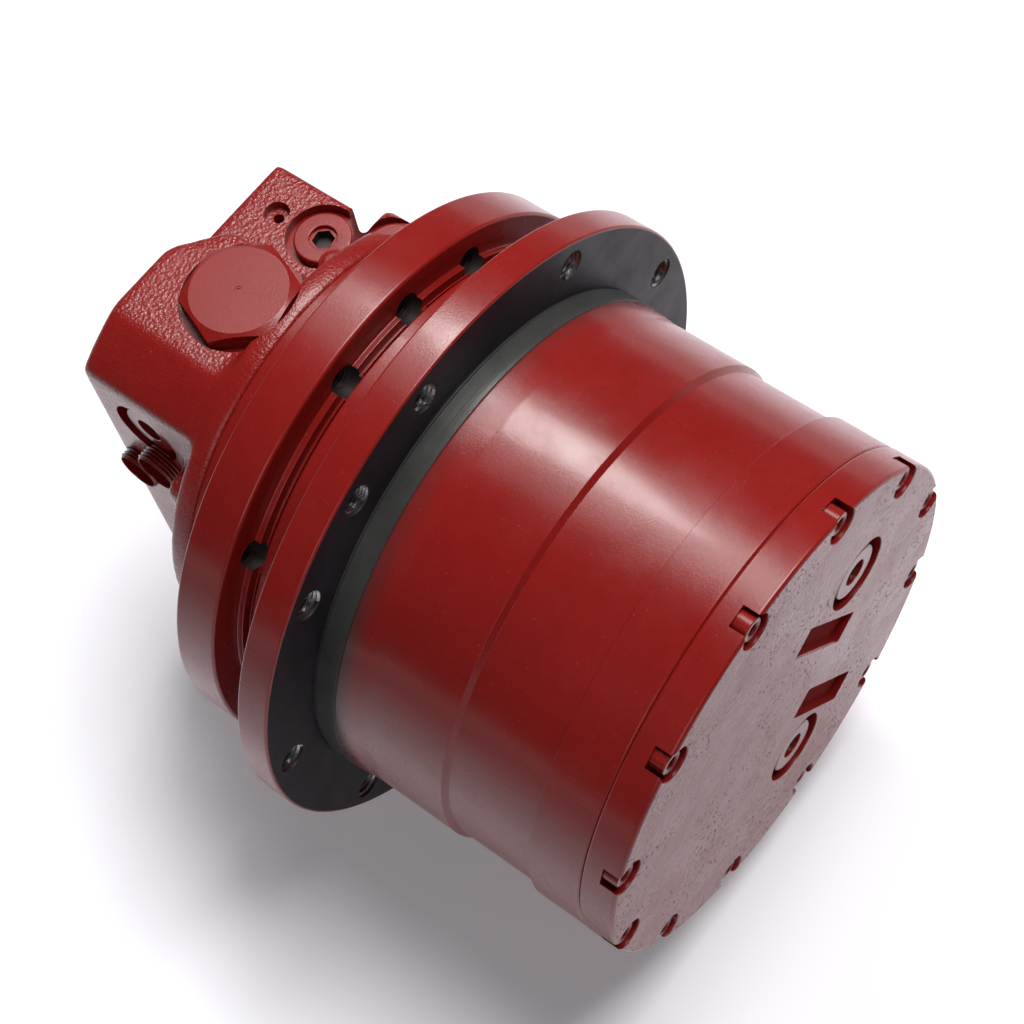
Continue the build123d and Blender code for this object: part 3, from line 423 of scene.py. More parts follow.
def faceSpots(piece):
    # Each face with its middle in millimetres and the middle's distance from the Y axis
    for face in piece.data.polygons:
        middle = face.center / mm
        yield face, middle, math.hypot(middle.x, middle.z)


def wear(piece, *names):
    piece.data.materials.clear()
    for name in names:
        piece.data.materials.append(finishes[name])


def settle(piece, body, node):
    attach(piece, body)
    if node:
        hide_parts(node)
    print("piece", piece.name, len(piece.data.polygons), "faces")


# Geometry Nodes helpers

def newTree(name, inputs):
    tree = bpy.data.node_groups.new(name, "GeometryNodeTree")
    tree.interface.new_socket("Geometry", in_out="INPUT", socket_type="NodeSocketGeometry")
    for label, kind, value in inputs:
        socket = tree.interface.new_socket(label, in_out="INPUT", socket_type=kind)
        if value is not None:
            socket.default_value = value
    tree.interface.new_socket("Geometry", in_out="OUTPUT", socket_type="NodeSocketGeometry")
    return tree


def addNode(tree, kind, settings=None, sockets=None):
    node = tree.nodes.new(kind)
    for key, value in (settings or {}).items():
        setattr(node, key, value)
    for key, value in (sockets or {}).items():
        if isinstance(value, bpy.types.NodeSocket):
            tree.links.new(value, node.inputs[key])
        else:
            node.inputs[key].default_value = value
    return node


def ringTree():
    # Copies the piece round the Y axis: it is drawn at angle 0, and each copy turns with its place
    tree = newTree("ringOfPieces", [
        ("Count", "NodeSocketInt", 9), ("Start Angle", "NodeSocketFloat", 0.0),
        ("Material", "NodeSocketMaterial", None)])
    given = addNode(tree, "NodeGroupInput").outputs
    points = addNode(tree, "GeometryNodePoints", None, {"Count": given["Count"]})
    index = addNode(tree, "GeometryNodeInputIndex")
    step = addNode(tree, "ShaderNodeMath", {"operation": "DIVIDE"}, {
        0: 2 * math.pi, 1: given["Count"]})
    turn = addNode(tree, "ShaderNodeMath", {"operation": "MULTIPLY_ADD"}, {
        0: index.outputs[0], 1: step.outputs[0], 2: given["Start Angle"]})
    back = addNode(tree, "ShaderNodeMath", {"operation": "MULTIPLY"}, {0: turn.outputs[0], 1: -1.0})
    spin = addNode(tree, "ShaderNodeCombineXYZ", None, {"Y": back.outputs[0]})
    copies = addNode(tree, "GeometryNodeInstanceOnPoints", None, {
        "Points": points.outputs[0], "Instance": given["Geometry"], "Rotation": spin.outputs[0]})
    real = addNode(tree, "GeometryNodeRealizeInstances", None, {"Geometry": copies.outputs[0]})
    coloured = addNode(tree, "GeometryNodeSetMaterial", None, {
        "Geometry": real.outputs[0], "Material": given["Material"]})
    addNode(tree, "NodeGroupOutput", None, {"Geometry": coloured.outputs[0]})
    return tree


def threadTree():
    # A thread's crests: a four-sided ridge wound along +Z from the origin
    tree = newTree("threadRidge", [
        ("Radius", "NodeSocketFloat", 0.006), ("Pitch", "NodeSocketFloat", 0.00175),
        ("Length", "NodeSocketFloat", 0.012), ("Ridge", "NodeSocketFloat", 0.0008),
        ("Steps", "NodeSocketInt", 28), ("Material", "NodeSocketMaterial", None)])
    given = addNode(tree, "NodeGroupInput").outputs
    turns = addNode(tree, "ShaderNodeMath", {"operation": "DIVIDE"}, {
        0: given["Length"], 1: given["Pitch"]})
    spiral = addNode(tree, "GeometryNodeCurveSpiral", None, {
        "Resolution": given["Steps"], "Rotations": turns.outputs[0],
        "Start Radius": given["Radius"], "End Radius": given["Radius"],
        "Height": given["Length"]})
    upright = addNode(tree, "GeometryNodeSetCurveNormal", {"mode": "Z_UP"}, {"Curve": spiral.outputs[0]})
    section = addNode(tree, "GeometryNodeCurvePrimitiveCircle", None, {
        "Resolution": 4, "Radius": given["Ridge"]})
    ridge = addNode(tree, "GeometryNodeCurveToMesh", None, {
        "Curve": upright.outputs[0], "Profile Curve": section.outputs["Curve"], "Fill Caps": True})
    coloured = addNode(tree, "GeometryNodeSetMaterial", None, {
        "Geometry": ridge.outputs[0], "Material": given["Material"]})
    addNode(tree, "NodeGroupOutput", None, {"Geometry": coloured.outputs[0]})
    return tree


ringOfPieces = ringTree()
threadRidge = threadTree()


def runTree(piece, tree, values):
    change = piece.modifiers.new("nodes", "NODES")
    change.node_group = tree
    for item in tree.interface.items_tree:
        if item.in_out == "INPUT" and item.name in values:
            change[item.identifier] = values[item.name]
    return evaluated(piece)


def ringed(piece, count, startAngle, finish):
    return runTree(piece, ringOfPieces, {
        "Count": count, "Start Angle": math.radians(startAngle), "Material": finishes[finish]})


def threadMesh(name, radius, pitch, length, ridge, start, direction, finish, steps=28):
    # One wound thread, placed along a direction; all sizes in millimetres
    piece = finished(name, bmesh.new())
    runTree(piece, threadRidge, {
        "Radius": radius * mm, "Pitch": pitch * mm, "Length": length * mm, "Ridge": ridge * mm,
        "Steps": steps, "Material": finishes[finish]})
    turn = Vector(direction).to_track_quat("Z", "Y").to_matrix().to_4x4()
    piece.data.transform(Matrix.Translation(Vector(start) * mm) @ turn)
    for face in piece.data.polygons:
        face.use_smooth = False
    return piece


def joined(name, pieces):
    # Several meshes become one piece
    shape = bmesh.new()
    slots = []
    for piece in pieces:
        for material in piece.data.materials:
            if material not in slots:
                slots.append(material)
    for piece in pieces:
        base = len(shape.faces)
        shape.from_mesh(piece.data)
        shape.faces.ensure_lookup_table()
        for face in shape.faces[base:]:
            if piece.data.materials:
                face.material_index = slots.index(piece.data.materials[face.material_index])
        bpy.data.objects.remove(piece)
    result = finished(name, shape)
    for material in slots:
        result.data.materials.append(material)
    return result


# Tapped holes, the same in both flanges

tappedHole = named({
    "major": 5.95, "pitch": 1.75, "ridge": 0.8, "finePitch": 1.25, "fineRidge": 0.58, "inset": 0.8,
    "mouth": 6.4, "mouthDepth": 0.6,
})


def cutTappedHoles(piece, circle, angles, y, direction, depth):
    cutter = bmesh.new()
    for angle in angles:
        place = onCircle(circle, angle, y)
        addBar(cutter, place - Vector(direction) * 2, direction, depth + 4, tappedHole.major)
        addBar(cutter, place - Vector(direction) * 0.2, direction, tappedHole.mouthDepth + 0.2,
               tappedHole.mouth, tappedHole.major)
    return cutAway(piece, finished("holes", cutter))


def evenAngles(count, start, *extra):
    return [start + 360 / count * index for index in range(count)] + list(extra)


def tappedThreads(name, sizes, y, direction, depth, finish):
    # The crests of all threads of one flange, wound once and copied round; the jacking hole's is finer
    t = tappedHole
    threads = []
    for pitch, ridge, count, angle in (
            (t.pitch, t.ridge, sizes.holeCount, sizes.holeStart),
            (t.finePitch, t.fineRidge, 1, sizes.jackHole)):
        start = onCircle(sizes.holeCircle, 0, y) + direction * t.inset
        thread = threadMesh(name, t.major, pitch, depth - 2 * t.inset, ridge, start, direction, finish)
        threads.append(ringed(thread, count, angle, finish))
    return joined(name, threads)


# Hub

hubSizes = named({
    "front": -121.4, "bandRear": -99.1, "waistRear": -61.3, "rearFront": -59.2, "flareFront": -22.0,
    "pilotFront": -9.9, "flangeRear": 13.9, "bossRear": 31.9,
    "bore": 91.0, "band": 104.6, "waist": 102.4, "rear": 104.3, "flare": 105.6, "pilot": 105.7,
    "flange": 131.4, "boss": 105.0, "sealBore": 90.0, "sealFront": 20.0, "bearingBore": 85.0,
    "shoulderBore": 79.0, "bearingFront": -2.0, "innerRear": -14.0, "gearRear": -41.0,
    "holeCircle": 120.5, "holeCount": 9, "holeStart": 16.8, "jackHole": 116.8,
})


def makeHub():
    s = hubSizes
    corners = [
        (s.bore, s.front, 0.3), (s.band, s.front, 0.9), (s.band, s.bandRear, 0.25),
        (s.waist, s.bandRear, 0.2), (s.waist, s.waistRear, 0.2),
        (s.rear, s.rearFront, 0.3), (s.rear, s.flareFront, 20.0),
        (s.flare, s.pilotFront - 0.6, 0.3), (s.flare - 0.5, s.pilotFront, 0.1),
        (s.pilot - 0.1, s.pilotFront + 0.15, 0.1),
        (s.pilot, -1.2, 0.2), (s.pilot - 0.5, -0.6, 0.2), (s.pilot - 0.5, 0, 0),
        (s.flange, 0, 1.0), (s.flange, s.flangeRear, 1.0), (s.boss, s.flangeRear, 1.5),
        (s.boss, s.bossRear, 0.8), (s.sealBore, s.bossRear, 0.5),
        (s.sealBore, s.sealFront, 0.3), (s.bearingBore, s.sealFront, 0.3),
        (s.bearingBore, s.bearingFront, 0), (s.shoulderBore, s.bearingFront, 0),
        (s.shoulderBore, s.innerRear, 0), (s.bearingBore, s.innerRear, 0),
        (s.bearingBore, s.gearRear, 0), (s.bore, s.gearRear, 0),
    ]
    hub = spinShape("hubBody", roundedOutline(corners), 256)
    angles = evenAngles(s.holeCount, s.holeStart, s.jackHole)
    cutTappedHoles(hub, s.holeCircle, angles, 0, backward, s.flangeRear)
    wear(hub, "drum", "flangeFace", "pilot", "bore", "neck")
    for face, middle, radius in faceSpots(hub):
        nearest = min((middle - onCircle(s.holeCircle, a, middle.y)).length for a in angles)
        inHole = nearest < tappedHole.mouth + 0.2 and face.normal.y > -0.98 and middle.y > 0.02
        # Hole walls and the inside take the near-black bore finish, a painted shade
        if inHole or radius < s.boss - 4:
            face.material_index = 3
        elif middle.y < 0.02 and radius > s.pilot + 0.5:
            face.material_index = 1
        elif s.pilotFront < middle.y < 0.1 and radius < s.pilot + 0.5:
            face.material_index = 2
        elif s.rearFront + 1 < middle.y < s.pilotFront:
            face.material_index = 4
    shaded(hub)
    settle(hub, "hub_side", "hub")
    threads = tappedThreads("sprocketThreads", s, 0, backward, s.flangeRear, "thread")
    settle(threads, "hub_side", None)


makeHub()


# End cover

coverSizes = named({
    "front": -136.3, "rear": -121.4, "inside": -116.3, "radius": 104.8, "spigot": 90.95, "edge": 1.6,
    "boltCircle": 99.0, "boltCount": 12, "boltStart": 8.4, "counterbore": 7.2, "counterboreDepth": 7.35,
    "turn": -51.6, "plugs": ((1.3, 60.2), (44.8, -24.7)), "recesses": ((1.6, 34.0), (43.05, 0.3)),
    "recessLength": 46.2, "recessWidth": 13.3, "recessDepth": 3.0, "spot": 15.6, "spotDepth": 5.0,
    "padRadius": 14.0, "padSeat": 2.7, "endSlope": 0.9, "topSlope": 0.7, "lowSlope": 1.6, "rounding": 1.2,
})


def coverPoint(across, up, y):
    turn = math.radians(coverSizes.turn)
    return Vector((across * math.cos(turn) - up * math.sin(turn), y,
                   across * math.sin(turn) + up * math.cos(turn)))


def addRecess(shape, across, up):
    # The bare cast pocket: an even floor, steep ends, and a sloping wall on its lower side
    s = coverSizes
    rounding = s.rounding
    rings = []
    for sunk in (1.0, 0.65, 0.25, 0.0, -0.15):
        # sunk is 1 at the floor and 0 at the cover's face
        y = s.front + s.recessDepth * sunk
        end = s.recessLength / 2 - s.endSlope * sunk
        top = s.recessWidth / 2 - s.topSlope * sunk
        low = -s.recessWidth / 2 + s.lowSlope * sunk
        ring = []
        for cx, cz, start in ((end, top, 0), (-end, top, 90), (-end, low, 180), (end, low, 270)):
            for step in range(5):
                angle = math.radians(start + 90 * step / 4)
                x = cx - math.copysign(rounding, cx) + rounding * math.cos(angle)
                z = cz - (rounding if cz == top else -rounding) + rounding * math.sin(angle)
                ring.append(shape.verts.new(coverPoint(across + x, up + z, y) * mm))
        rings.append(ring)
    bridgeRings(shape, rings)
    shape.faces.new(rings[0])
    shape.faces.new(list(reversed(rings[-1])))


def makeCover():
    s = coverSizes
    corners = [
        (0, s.front, 0), (s.radius, s.front, s.edge), (s.radius, s.rear, 1.1),
        (s.spigot, s.rear, 0), (s.spigot, s.inside, 0.5), (s.padRadius, s.inside, 0),
        (s.padRadius, s.inside - s.padSeat, 0), (0, s.inside - s.padSeat, 0),
    ]
    cover = spinShape("coverBody", roundedOutline(corners, 5), 256)
    cutter = bmesh.new()
    for angle in evenAngles(s.boltCount, s.boltStart):
        place = onCircle(s.boltCircle, angle, s.front)
        addDomedCut(cutter, place, forward, s.counterboreDepth, s.counterbore, 0.6)
    for across, up in s.plugs:
        place = coverPoint(across, up, s.front)
        addDomedCut(cutter, place, forward, s.spotDepth, s.spot, 0.35, 64)
    for across, up in s.recesses:
        addRecess(cutter, across, up)
    bmesh.ops.recalc_face_normals(cutter, faces=cutter.faces)
    cutAway(cover, finished("cutter", cutter))
    wear(cover, "cover", "turned", "pocket")
    paintCoverFaces(cover)
    shaded(cover, 24)
    settle(cover, "hub_side", "cover")


def paintCoverFaces(cover):
    # Only the cast front face is pitted; the recesses are rougher and duller than the rest
    s = coverSizes
    turn = math.radians(s.turn)
    for face, middle, _ in faceSpots(cover):
        across = middle.x * math.cos(turn) + middle.z * math.sin(turn)
        up = middle.z * math.cos(turn) - middle.x * math.sin(turn)
        inPocket = any(abs(across - a) < s.recessLength / 2 and abs(up - u) < s.recessWidth / 2
                       for a, u in s.recesses)
        if middle.y > s.front + 0.05:
            face.material_index = 2 if inPocket and middle.y < s.inside - 6 else 1


makeCover()

capScrew = named({
    "head": 5.0, "headHeight": 6.0, "socket": 2.5, "socketDepth": 3.2, "shank": 3.0, "length": 24.0,
    "mouth": 3.4, "mouthFloor": 2.7, "mouthDepth": 0.5,
})


def makeCoverScrews():
    s, c = capScrew, coverSizes
    seat = c.front + c.counterboreDepth
    top = seat - s.headHeight
    corners = [
        (0, top, 0), (s.head, top, 0.6), (s.head, seat, 0.2), (s.shank, seat, 0),
        (s.shank, seat + s.length, 0.4), (0, seat + s.length, 0),
    ]
    screw = spinShape("coverScrews", roundedOutline(corners), 40)
    cutter = bmesh.new()
    addHexBar(cutter, (0, top - 1, 0), backward, s.socketDepth + 1, s.socket)
    addBar(cutter, (0, top - 0.1, 0), backward, s.mouthDepth + 0.1, s.mouth, s.mouthFloor)
    cutAway(screw, finished("socket", cutter))
    screw.data.transform(Matrix.Translation(onCircle(c.boltCircle, 0) * mm))
    shaded(screw)
    ringed(screw, c.boltCount, c.boltStart, "fitting")
    settle(screw, "hub_side", "cover_screws")


makeCoverScrews()


# Flanged plugs with a hexagon socket, in the cover and in the port block

smallPlug = named({
    "flange": 11.8, "height": 4.0, "edge": 0.9, "socket": 4.0, "socketDepth": 6.0, "mouth": 5.5,
    "mouthDepth": 1.6, "shank": 8.3, "shankLength": 9.0,
})


def socketPlug(name, seat, outward, turn):
    s = smallPlug
    corners = [
        (0, -s.height, 0), (s.flange, -s.height, s.edge), (s.flange, 0, 0.3),
        (s.shank, 0, 0), (s.shank, s.shankLength, 0.5), (0, s.shankLength, 0),
    ]
    plug = spinShape(name, roundedOutline(corners), 96)
    cutter = bmesh.new()
    addDomedCut(cutter, (0, -s.height, 0), forward, s.mouthDepth, s.mouth, 0.4)
    addHexBar(cutter, (0, -s.height - 1, 0), backward, s.socketDepth + 1, s.socket, turn)
    bmesh.ops.recalc_face_normals(cutter, faces=cutter.faces)
    cutAway(plug, finished("socket", cutter))
    moved(plug, seat, forward, outward)
    wear(plug, "fitting", "bore")
    # The socket's faces take the near-black bore finish, a painted shade in the recess
    for face, middle, _ in faceSpots(plug):
        gap = middle - seat
        if (gap.cross(outward).length < s.mouth - 0.2
                and gap.dot(outward) < s.height - s.mouthDepth - 0.2):
            face.material_index = 1
    return shaded(plug)


def makeCoverPlugs():
    s = coverSizes
    seat = s.front + s.spotDepth
    plugs = [socketPlug(f"coverPlug{k}", coverPoint(*place, seat), forward, turn)
             for k, (place, turn) in enumerate(zip(s.plugs, (12, 40)))]
    plug = joined("coverPlugs", plugs)
    settle(plug, "hub_side", "cover_plugs")


makeCoverPlugs()


# Fixed spindle casting with the frame flange

spindleSizes = named({
    "nose": -34.0, "bearingRear": 18.0, "shoulderRear": 22.0, "sealFloor": 43.8, "front": 32.8,
    "rimRear": 33.4, "grooveRear": 35.4, "flangeFront": 38.0, "flangeRear": 56.9,
    "bearing": 65.0, "shoulder": 70.0, "collar": 72.0, "pocket": 90.0, "rim": 104.0, "groove": 100.8,
    "lip": 105.0, "flange": 117.8, "brakeBore": 54.0, "brakeFront": 42.0, "cavity": 50.0,
    "cavityFront": -8.0, "shaftBearing": 24.0, "shaftBearingFront": -22.0, "shaftSeal": 18.0,
    "shaftSealFront": -28.0, "wallHole": 14.0,
    "housing": 92.4, "joint": 74.0,
    "holeCircle": 104.2, "holeCount": 9, "holeStart": 20.0, "jackHole": 80.0,
})


def makeSpindle():
    s = spindleSizes
    corners = [
        (s.wallHole, s.nose, 0), (s.bearing, s.nose, 1.0), (s.bearing, s.bearingRear, 0),
        (s.shoulder, s.bearingRear, 0.4), (s.shoulder, s.shoulderRear, 0),
        (s.collar, s.shoulderRear, 0.4), (s.collar, s.sealFloor, 0),
        (s.pocket, s.sealFloor, 0), (s.pocket, s.front, 0.3), (s.rim, s.front, 0.2),
        (s.rim, s.rimRear, 0.2), (s.groove, s.rimRear, 0.2), (s.groove, s.grooveRear, 0.2),
        (s.lip, s.grooveRear, 0.4), (s.lip, s.flangeFront, 0.6),
        (s.flange, s.flangeFront, 1.4), (s.flange, s.flangeRear, 1.0),
        (s.housing, s.flangeRear, 1.0), (s.housing, s.joint, 0),
        (s.brakeBore, s.joint, 0), (s.brakeBore, s.brakeFront, 0),
        (s.cavity, s.brakeFront, 0), (s.cavity, s.cavityFront, 0),
        (s.shaftBearing, s.cavityFront, 0), (s.shaftBearing, s.shaftBearingFront, 0),
        (s.shaftSeal, s.shaftBearingFront, 0), (s.shaftSeal, s.shaftSealFront, 0),
        (s.wallHole, s.shaftSealFront, 0),
    ]
    spindle = spinShape("spindleBody", roundedOutline(corners), 256)
    angles = evenAngles(s.holeCount, s.holeStart, s.jackHole)
    cutTappedHoles(spindle, s.holeCircle, angles, s.flangeRear, forward, s.flangeRear - s.front)
    wear(spindle, "turned", "bore")
    for face, middle, radius in faceSpots(spindle):
        nearest = min((middle - onCircle(s.holeCircle, a, middle.y)).length for a in angles)
        inHole = nearest < tappedHole.major + 0.2 and abs(face.normal.y) < 0.5
        # Hole walls and the inside take the near-black bore finish, a painted shade
        face.material_index = 1 if inHole or radius < s.pocket + 1 else 0
    shaded(spindle)
    settle(spindle, "frame_side", "spindle_housing")
    # The frame flange's threads take the darker thread steel, partly painted shade
    threads = tappedThreads("frameThreads", s, s.flangeRear, forward, s.flangeRear - s.flangeFront,
                            "paintedShadeThread")
    settle(threads, "frame_side", None)


makeSpindle()


# Port block casting: the cast form is remeshed, so that its edges are round, then machined

blockSizes = named({
    "front": 74.0, "shoulder": 85.0, "rear": 143.3, "radius": 92.4, "corner": 91.7,
    "left": -58.8, "right": 57.8, "top": 68.3, "bottom": -74.0,
    "bossTop": 84.0, "bossRight": 16.8, "bossCornerY": 127.0, "bossCornerX": -3.0,
    "voxel": 1.1, "smoothing": 40, "bearing": 20.0, "bearingRear": 84.0,
    "leftLug": ((-73.5, 19.0), (-53.8, 47.5), 95.0), "rightLug": ((52.8, 14.0), (75.8, 48.3), 105.0),
    "lugChamfer": 4.0, "domeX": 29.5, "domeY": 88.0, "domeRadius": 6.5, "domeTop": 79.0,
    "domeRounding": 3.9, "rib": 0.8, "ribDepth": 0.2,
    "valveX": -5.0, "valveY": 103.1, "valveSpot": 24.2, "valveSpotDepth": 3.0, "valveThread": 16.5,
    "valveThreadDepth": 20.0, "spot": 15.0, "spotReach": 50.0,
    "ports": ((130.8, 8.0, 63.5), (114.6, 24.5, 64.5)), "portHole": 9.8,
    "boltAngles": (48.0, 125.0, 232.0, 308.0), "boltCircle": 63.0, "boltHole": 7.2, "boltHeadDepth": 9.0,
    "tap": (38.6, 127.1), "tapHole": 2.25, "tapDepth": 16.0, "tapMouth": 5.3, "tapMouthDepth": 4.0,
    "sideTap": (122.0, 36.0), "sideTapHole": 2.5, "sideTapDepth": 8.0,
})
# Each plug's seat, the way it faces and the turn of its socket
gallerySeats = (
    (Vector((40.0, 104.7, 63.8)), upward, 20),
    (Vector((-53.3, 116.5, 46.5)), leftward, 5),
    (Vector((60.5, 89.9, 43.8)), upward, 35),
)


def blockPiece(name, low, high):
    size = Vector(high) - Vector(low)
    middle = (Vector(high) + Vector(low)) / 2
    shape = bmesh.new()
    bmesh.ops.create_cube(shape, size=1, matrix=Matrix.Translation(middle * mm) @ Matrix.Diagonal(
        (*(size * mm), 1)))
    return finished(name, shape)


def lugPiece(sizes):
    # A side lug whose outer top edge is chamfered
    s = blockSizes
    (lowX, lowZ), (highX, highZ), rear = sizes
    cut = s.lugChamfer
    outline = [(lowX, lowZ), (highX, lowZ), (highX, highZ), (lowX, highZ)]
    if lowX < s.left:
        outline[3:] = [(lowX + cut, highZ), (lowX, highZ - cut)]
    else:
        outline[2:3] = [(highX, highZ - cut), (highX - cut, highZ)]
    return prism("lug", [Vector((x, s.front + 4, z)) for x, z in outline],
                 backward * (rear - s.front - 4))


def prism(name, corners, travel):
    shape = bmesh.new()
    low = [shape.verts.new(corner * mm) for corner in corners]
    high = [shape.verts.new((corner + travel) * mm) for corner in corners]
    shape.faces.new(list(reversed(low)))
    shape.faces.new(high)
    for step in range(len(low)):
        shape.faces.new([low[step - 1], low[step], high[step], high[step - 1]])
    bmesh.ops.recalc_face_normals(shape, faces=shape.faces)
    return finished(name, shape)


def domePiece():
    # The round boss beside the gallery plug, ribbed round its wall like a knurled cap
    s = blockSizes
    foot = s.top - 7
    straight = s.domeTop - s.domeRounding
    outline = [(0, foot), (s.domeRadius, foot)]
    height = foot + s.rib
    while height < straight:
        outline += [(s.domeRadius - s.ribDepth, height - s.rib / 2), (s.domeRadius, height)]
        height += s.rib
    for step in range(1, 9):
        angle = math.pi / 2 * step / 8
        outline.append((s.domeRadius - s.domeRounding * (1 - math.cos(angle)),
                        straight + s.domeRounding * math.sin(angle)))
    outline.append((0, s.domeTop))
    dome = spinShape("dome", outline, 64)
    moved(dome, (s.domeX, s.domeY, 0), backward, upward)
    wear(dome, "turned")
    return shaded(dome, 40)


def bossPiece():
    # The raised valve boss, drawn from above
    s = blockSizes
    front = s.shoulder - 6
    corners = [
        (s.left, front, 0), (s.bossRight, front, 0), (s.bossRight, s.bossCornerY, 5),
        (s.bossCornerX, s.rear, 9), (s.left, s.rear, 0),
    ]
    foot = s.top / 2
    outline = [Vector((x, y, foot)) for x, y in roundedOutline(corners, 6)]
    return prism("boss", outline, upward * (s.bossTop - foot))


def makePortBlock():
    s = blockSizes
    drum = [(0, s.front), (s.radius, s.front), (s.radius, s.shoulder), (0, s.shoulder)]
    block = spinShape("portBlock", drum, 160)
    body = blockPiece("body", (s.left, s.front + 4, s.bottom), (s.right, s.rear, s.top))
    cutAway(body, bossPiece(), "UNION")
    for lug in (s.leftLug, s.rightLug):
        cutAway(body, lugPiece(lug), "UNION")
    bar = [(0, s.front + 4, 0), (s.corner, s.front + 4, 0), (s.corner, s.rear, 3.0),
           (0, s.rear, 0)]
    cutAway(body, spinShape("bar", roundedOutline(bar), 160), "INTERSECT")
    cutAway(block, body, "UNION")
    remesh = block.modifiers.new("cast", "REMESH")
    remesh.mode = "VOXEL"
    remesh.voxel_size = s.voxel * mm
    smooth = block.modifiers.new("round", "SMOOTH")
    smooth.factor = 0.5
    smooth.iterations = s.smoothing
    evaluated(block)
    cutter = bmesh.new()
    addBar(cutter, (0, s.front - 3, 0), backward, 3, s.radius + 8, segments=160)
    addBar(cutter, (0, s.front - 1, 0), backward, s.bearingRear - s.front + 1, s.bearing,
           segments=64)
    for z, outward in ((s.bossTop, upward), (s.bottom, -upward)):
        seat = Vector((s.valveX, s.valveY, z)) - outward * s.valveSpotDepth
        addBar(cutter, seat, outward, s.spotReach, s.valveSpot, segments=96)
        addBar(cutter, seat + outward * 2, -outward, s.valveThreadDepth + 2, s.valveThread, segments=64)
    for seat, outward, _ in gallerySeats:
        addBar(cutter, seat, outward, s.spotReach, s.spot, segments=80)
        addBar(cutter, seat + outward, -outward, smallPlug.shankLength + 2, smallPlug.shank)
    for y, z, _ in s.ports:
        addBar(cutter, (s.left + 14, y, z), leftward, 40, s.portHole + 0.2, segments=64)
    tap = Vector((*s.tap, s.top))
    addBar(cutter, tap + upward * 2, -upward, s.tapMouthDepth + 2, s.tapMouth, segments=48)
    addBar(cutter, tap, -upward, s.tapDepth, s.tapHole, segments=32)
    addBar(cutter, (s.left - 2, *s.sideTap), -leftward, s.sideTapDepth + 2, s.sideTapHole,
           segments=32)
    for angle in s.boltAngles:
        addBar(cutter, onCircle(s.boltCircle, angle, s.rear + 2), forward, s.boltHeadDepth + 2,
               s.boltHole, segments=48)
    cutAway(block, finished("cutter", cutter))
    wear(block, "casting", "turned", "bore", "band")
    paintBlockFaces(block)
    shaded(block, 38, weighted=False)
    block = joined("portBlock", [block, domePiece()])
    settle(block, "frame_side", "port_block")


def paintBlockFaces(block):
    # The band beside the flange has a finer skin, the machined faces are smooth and bores get the near-black
    # bore finish, a painted shade
    s = blockSizes
    for face, middle, radius in faceSpots(block):
        if radius < s.bearing + 0.5 and middle.y < s.bearingRear + 0.5:
            face.material_index = 2
            continue
        if radius > s.radius - 1.3:
            face.material_index = 3
            continue
        machined = False
        for seat, outward, _ in gallerySeats:
            gap = (middle - seat).cross(outward).length
            machined |= gap < s.spot + 0.1 and (middle - seat).dot(outward) > -0.2
        valveGap = math.hypot(middle.x - s.valveX, middle.y - s.valveY)
        machined |= valveGap < s.valveSpot + 0.1 and abs(middle.z) > 70
        for y, z, _ in s.ports:
            if math.hypot(middle.y - y, middle.z - z) < s.portHole + 0.6 and middle.x < -40:
                machined = True
        face.material_index = 1 if machined else 0


makePortBlock()

valvePlug = named({
    "hex": 41.0, "head": 8.2, "chamferRadius": 19.2, "chamfer": 2.6, "shank": 16.5,
    "shankLength": 20.0, "turn": 40.0, "edge": 0.35, "marks": ((1.6, 0.25), (0.88, 0.6)),
})


def makeValvePlug(name, node, seat, outward):
    s = valvePlug
    corner = s.hex / math.sqrt(3)
    shape = bmesh.new()
    addBar(shape, (0, 0, 0), upward, s.head, corner, segments=6, turn=s.turn)
    plug = finished(name, shape)
    crown = bmesh.new()
    addBar(crown, (0, 0, -1), upward, s.head - s.chamfer + 1, corner + 0.5, segments=128)
    low = finished("crown", crown)
    cone = bmesh.new()
    addBar(cone, (0, 0, s.head - s.chamfer - 0.01), upward, s.chamfer + 0.01, corner + 0.5,
           s.chamferRadius, segments=128)
    cutAway(low, finished("cone", cone), "UNION", False)
    cutAway(plug, low, "INTERSECT", False)
    bevel = plug.modifiers.new("edges", "BEVEL")
    bevel.width = s.edge * mm
    bevel.segments = 2
    bevel.limit_method = "ANGLE"
    bevel.angle_limit = math.radians(20)
    evaluated(plug)
    shank = bmesh.new()
    addBar(shank, (0, 0, 0.5), -upward, s.shankLength + 0.5, s.shank, segments=64)
    cutAway(plug, finished("shank", shank), "UNION", False)
    mark = bmesh.new()
    for radius, depth in s.marks:
        addBar(mark, (0, 0, s.head - depth), upward, 1, radius, segments=32)
    cutAway(plug, finished("mark", mark))
    moved(plug, seat, upward, outward)
    wear(plug, "fitting")
    shaded(plug, 25)
    settle(plug, "frame_side", node)


makeValvePlug("valvePlugTop", "spool_plug_top", (-5.0, 103.1, 81.0), upward)
makeValvePlug("valvePlugBottom", "spool_plug_bottom", (-5.0, 103.1, -71.0), -upward)


def makeGalleryPlugs():
    plugs = [socketPlug(f"galleryPlug{k}", seat, outward, turn)
             for k, (seat, outward, turn) in enumerate(gallerySeats)]
    settle(joined("galleryPlugs", plugs), "frame_side", "gallery_plugs")


makeGalleryPlugs()

adapterSizes = named({
    "bore": 8.4, "root": 9.1, "seatDepth": 14.0, "pitch": 1.5, "ridge": 0.62, "threadLength": 7.5,
    "threadInset": 0.7,
})


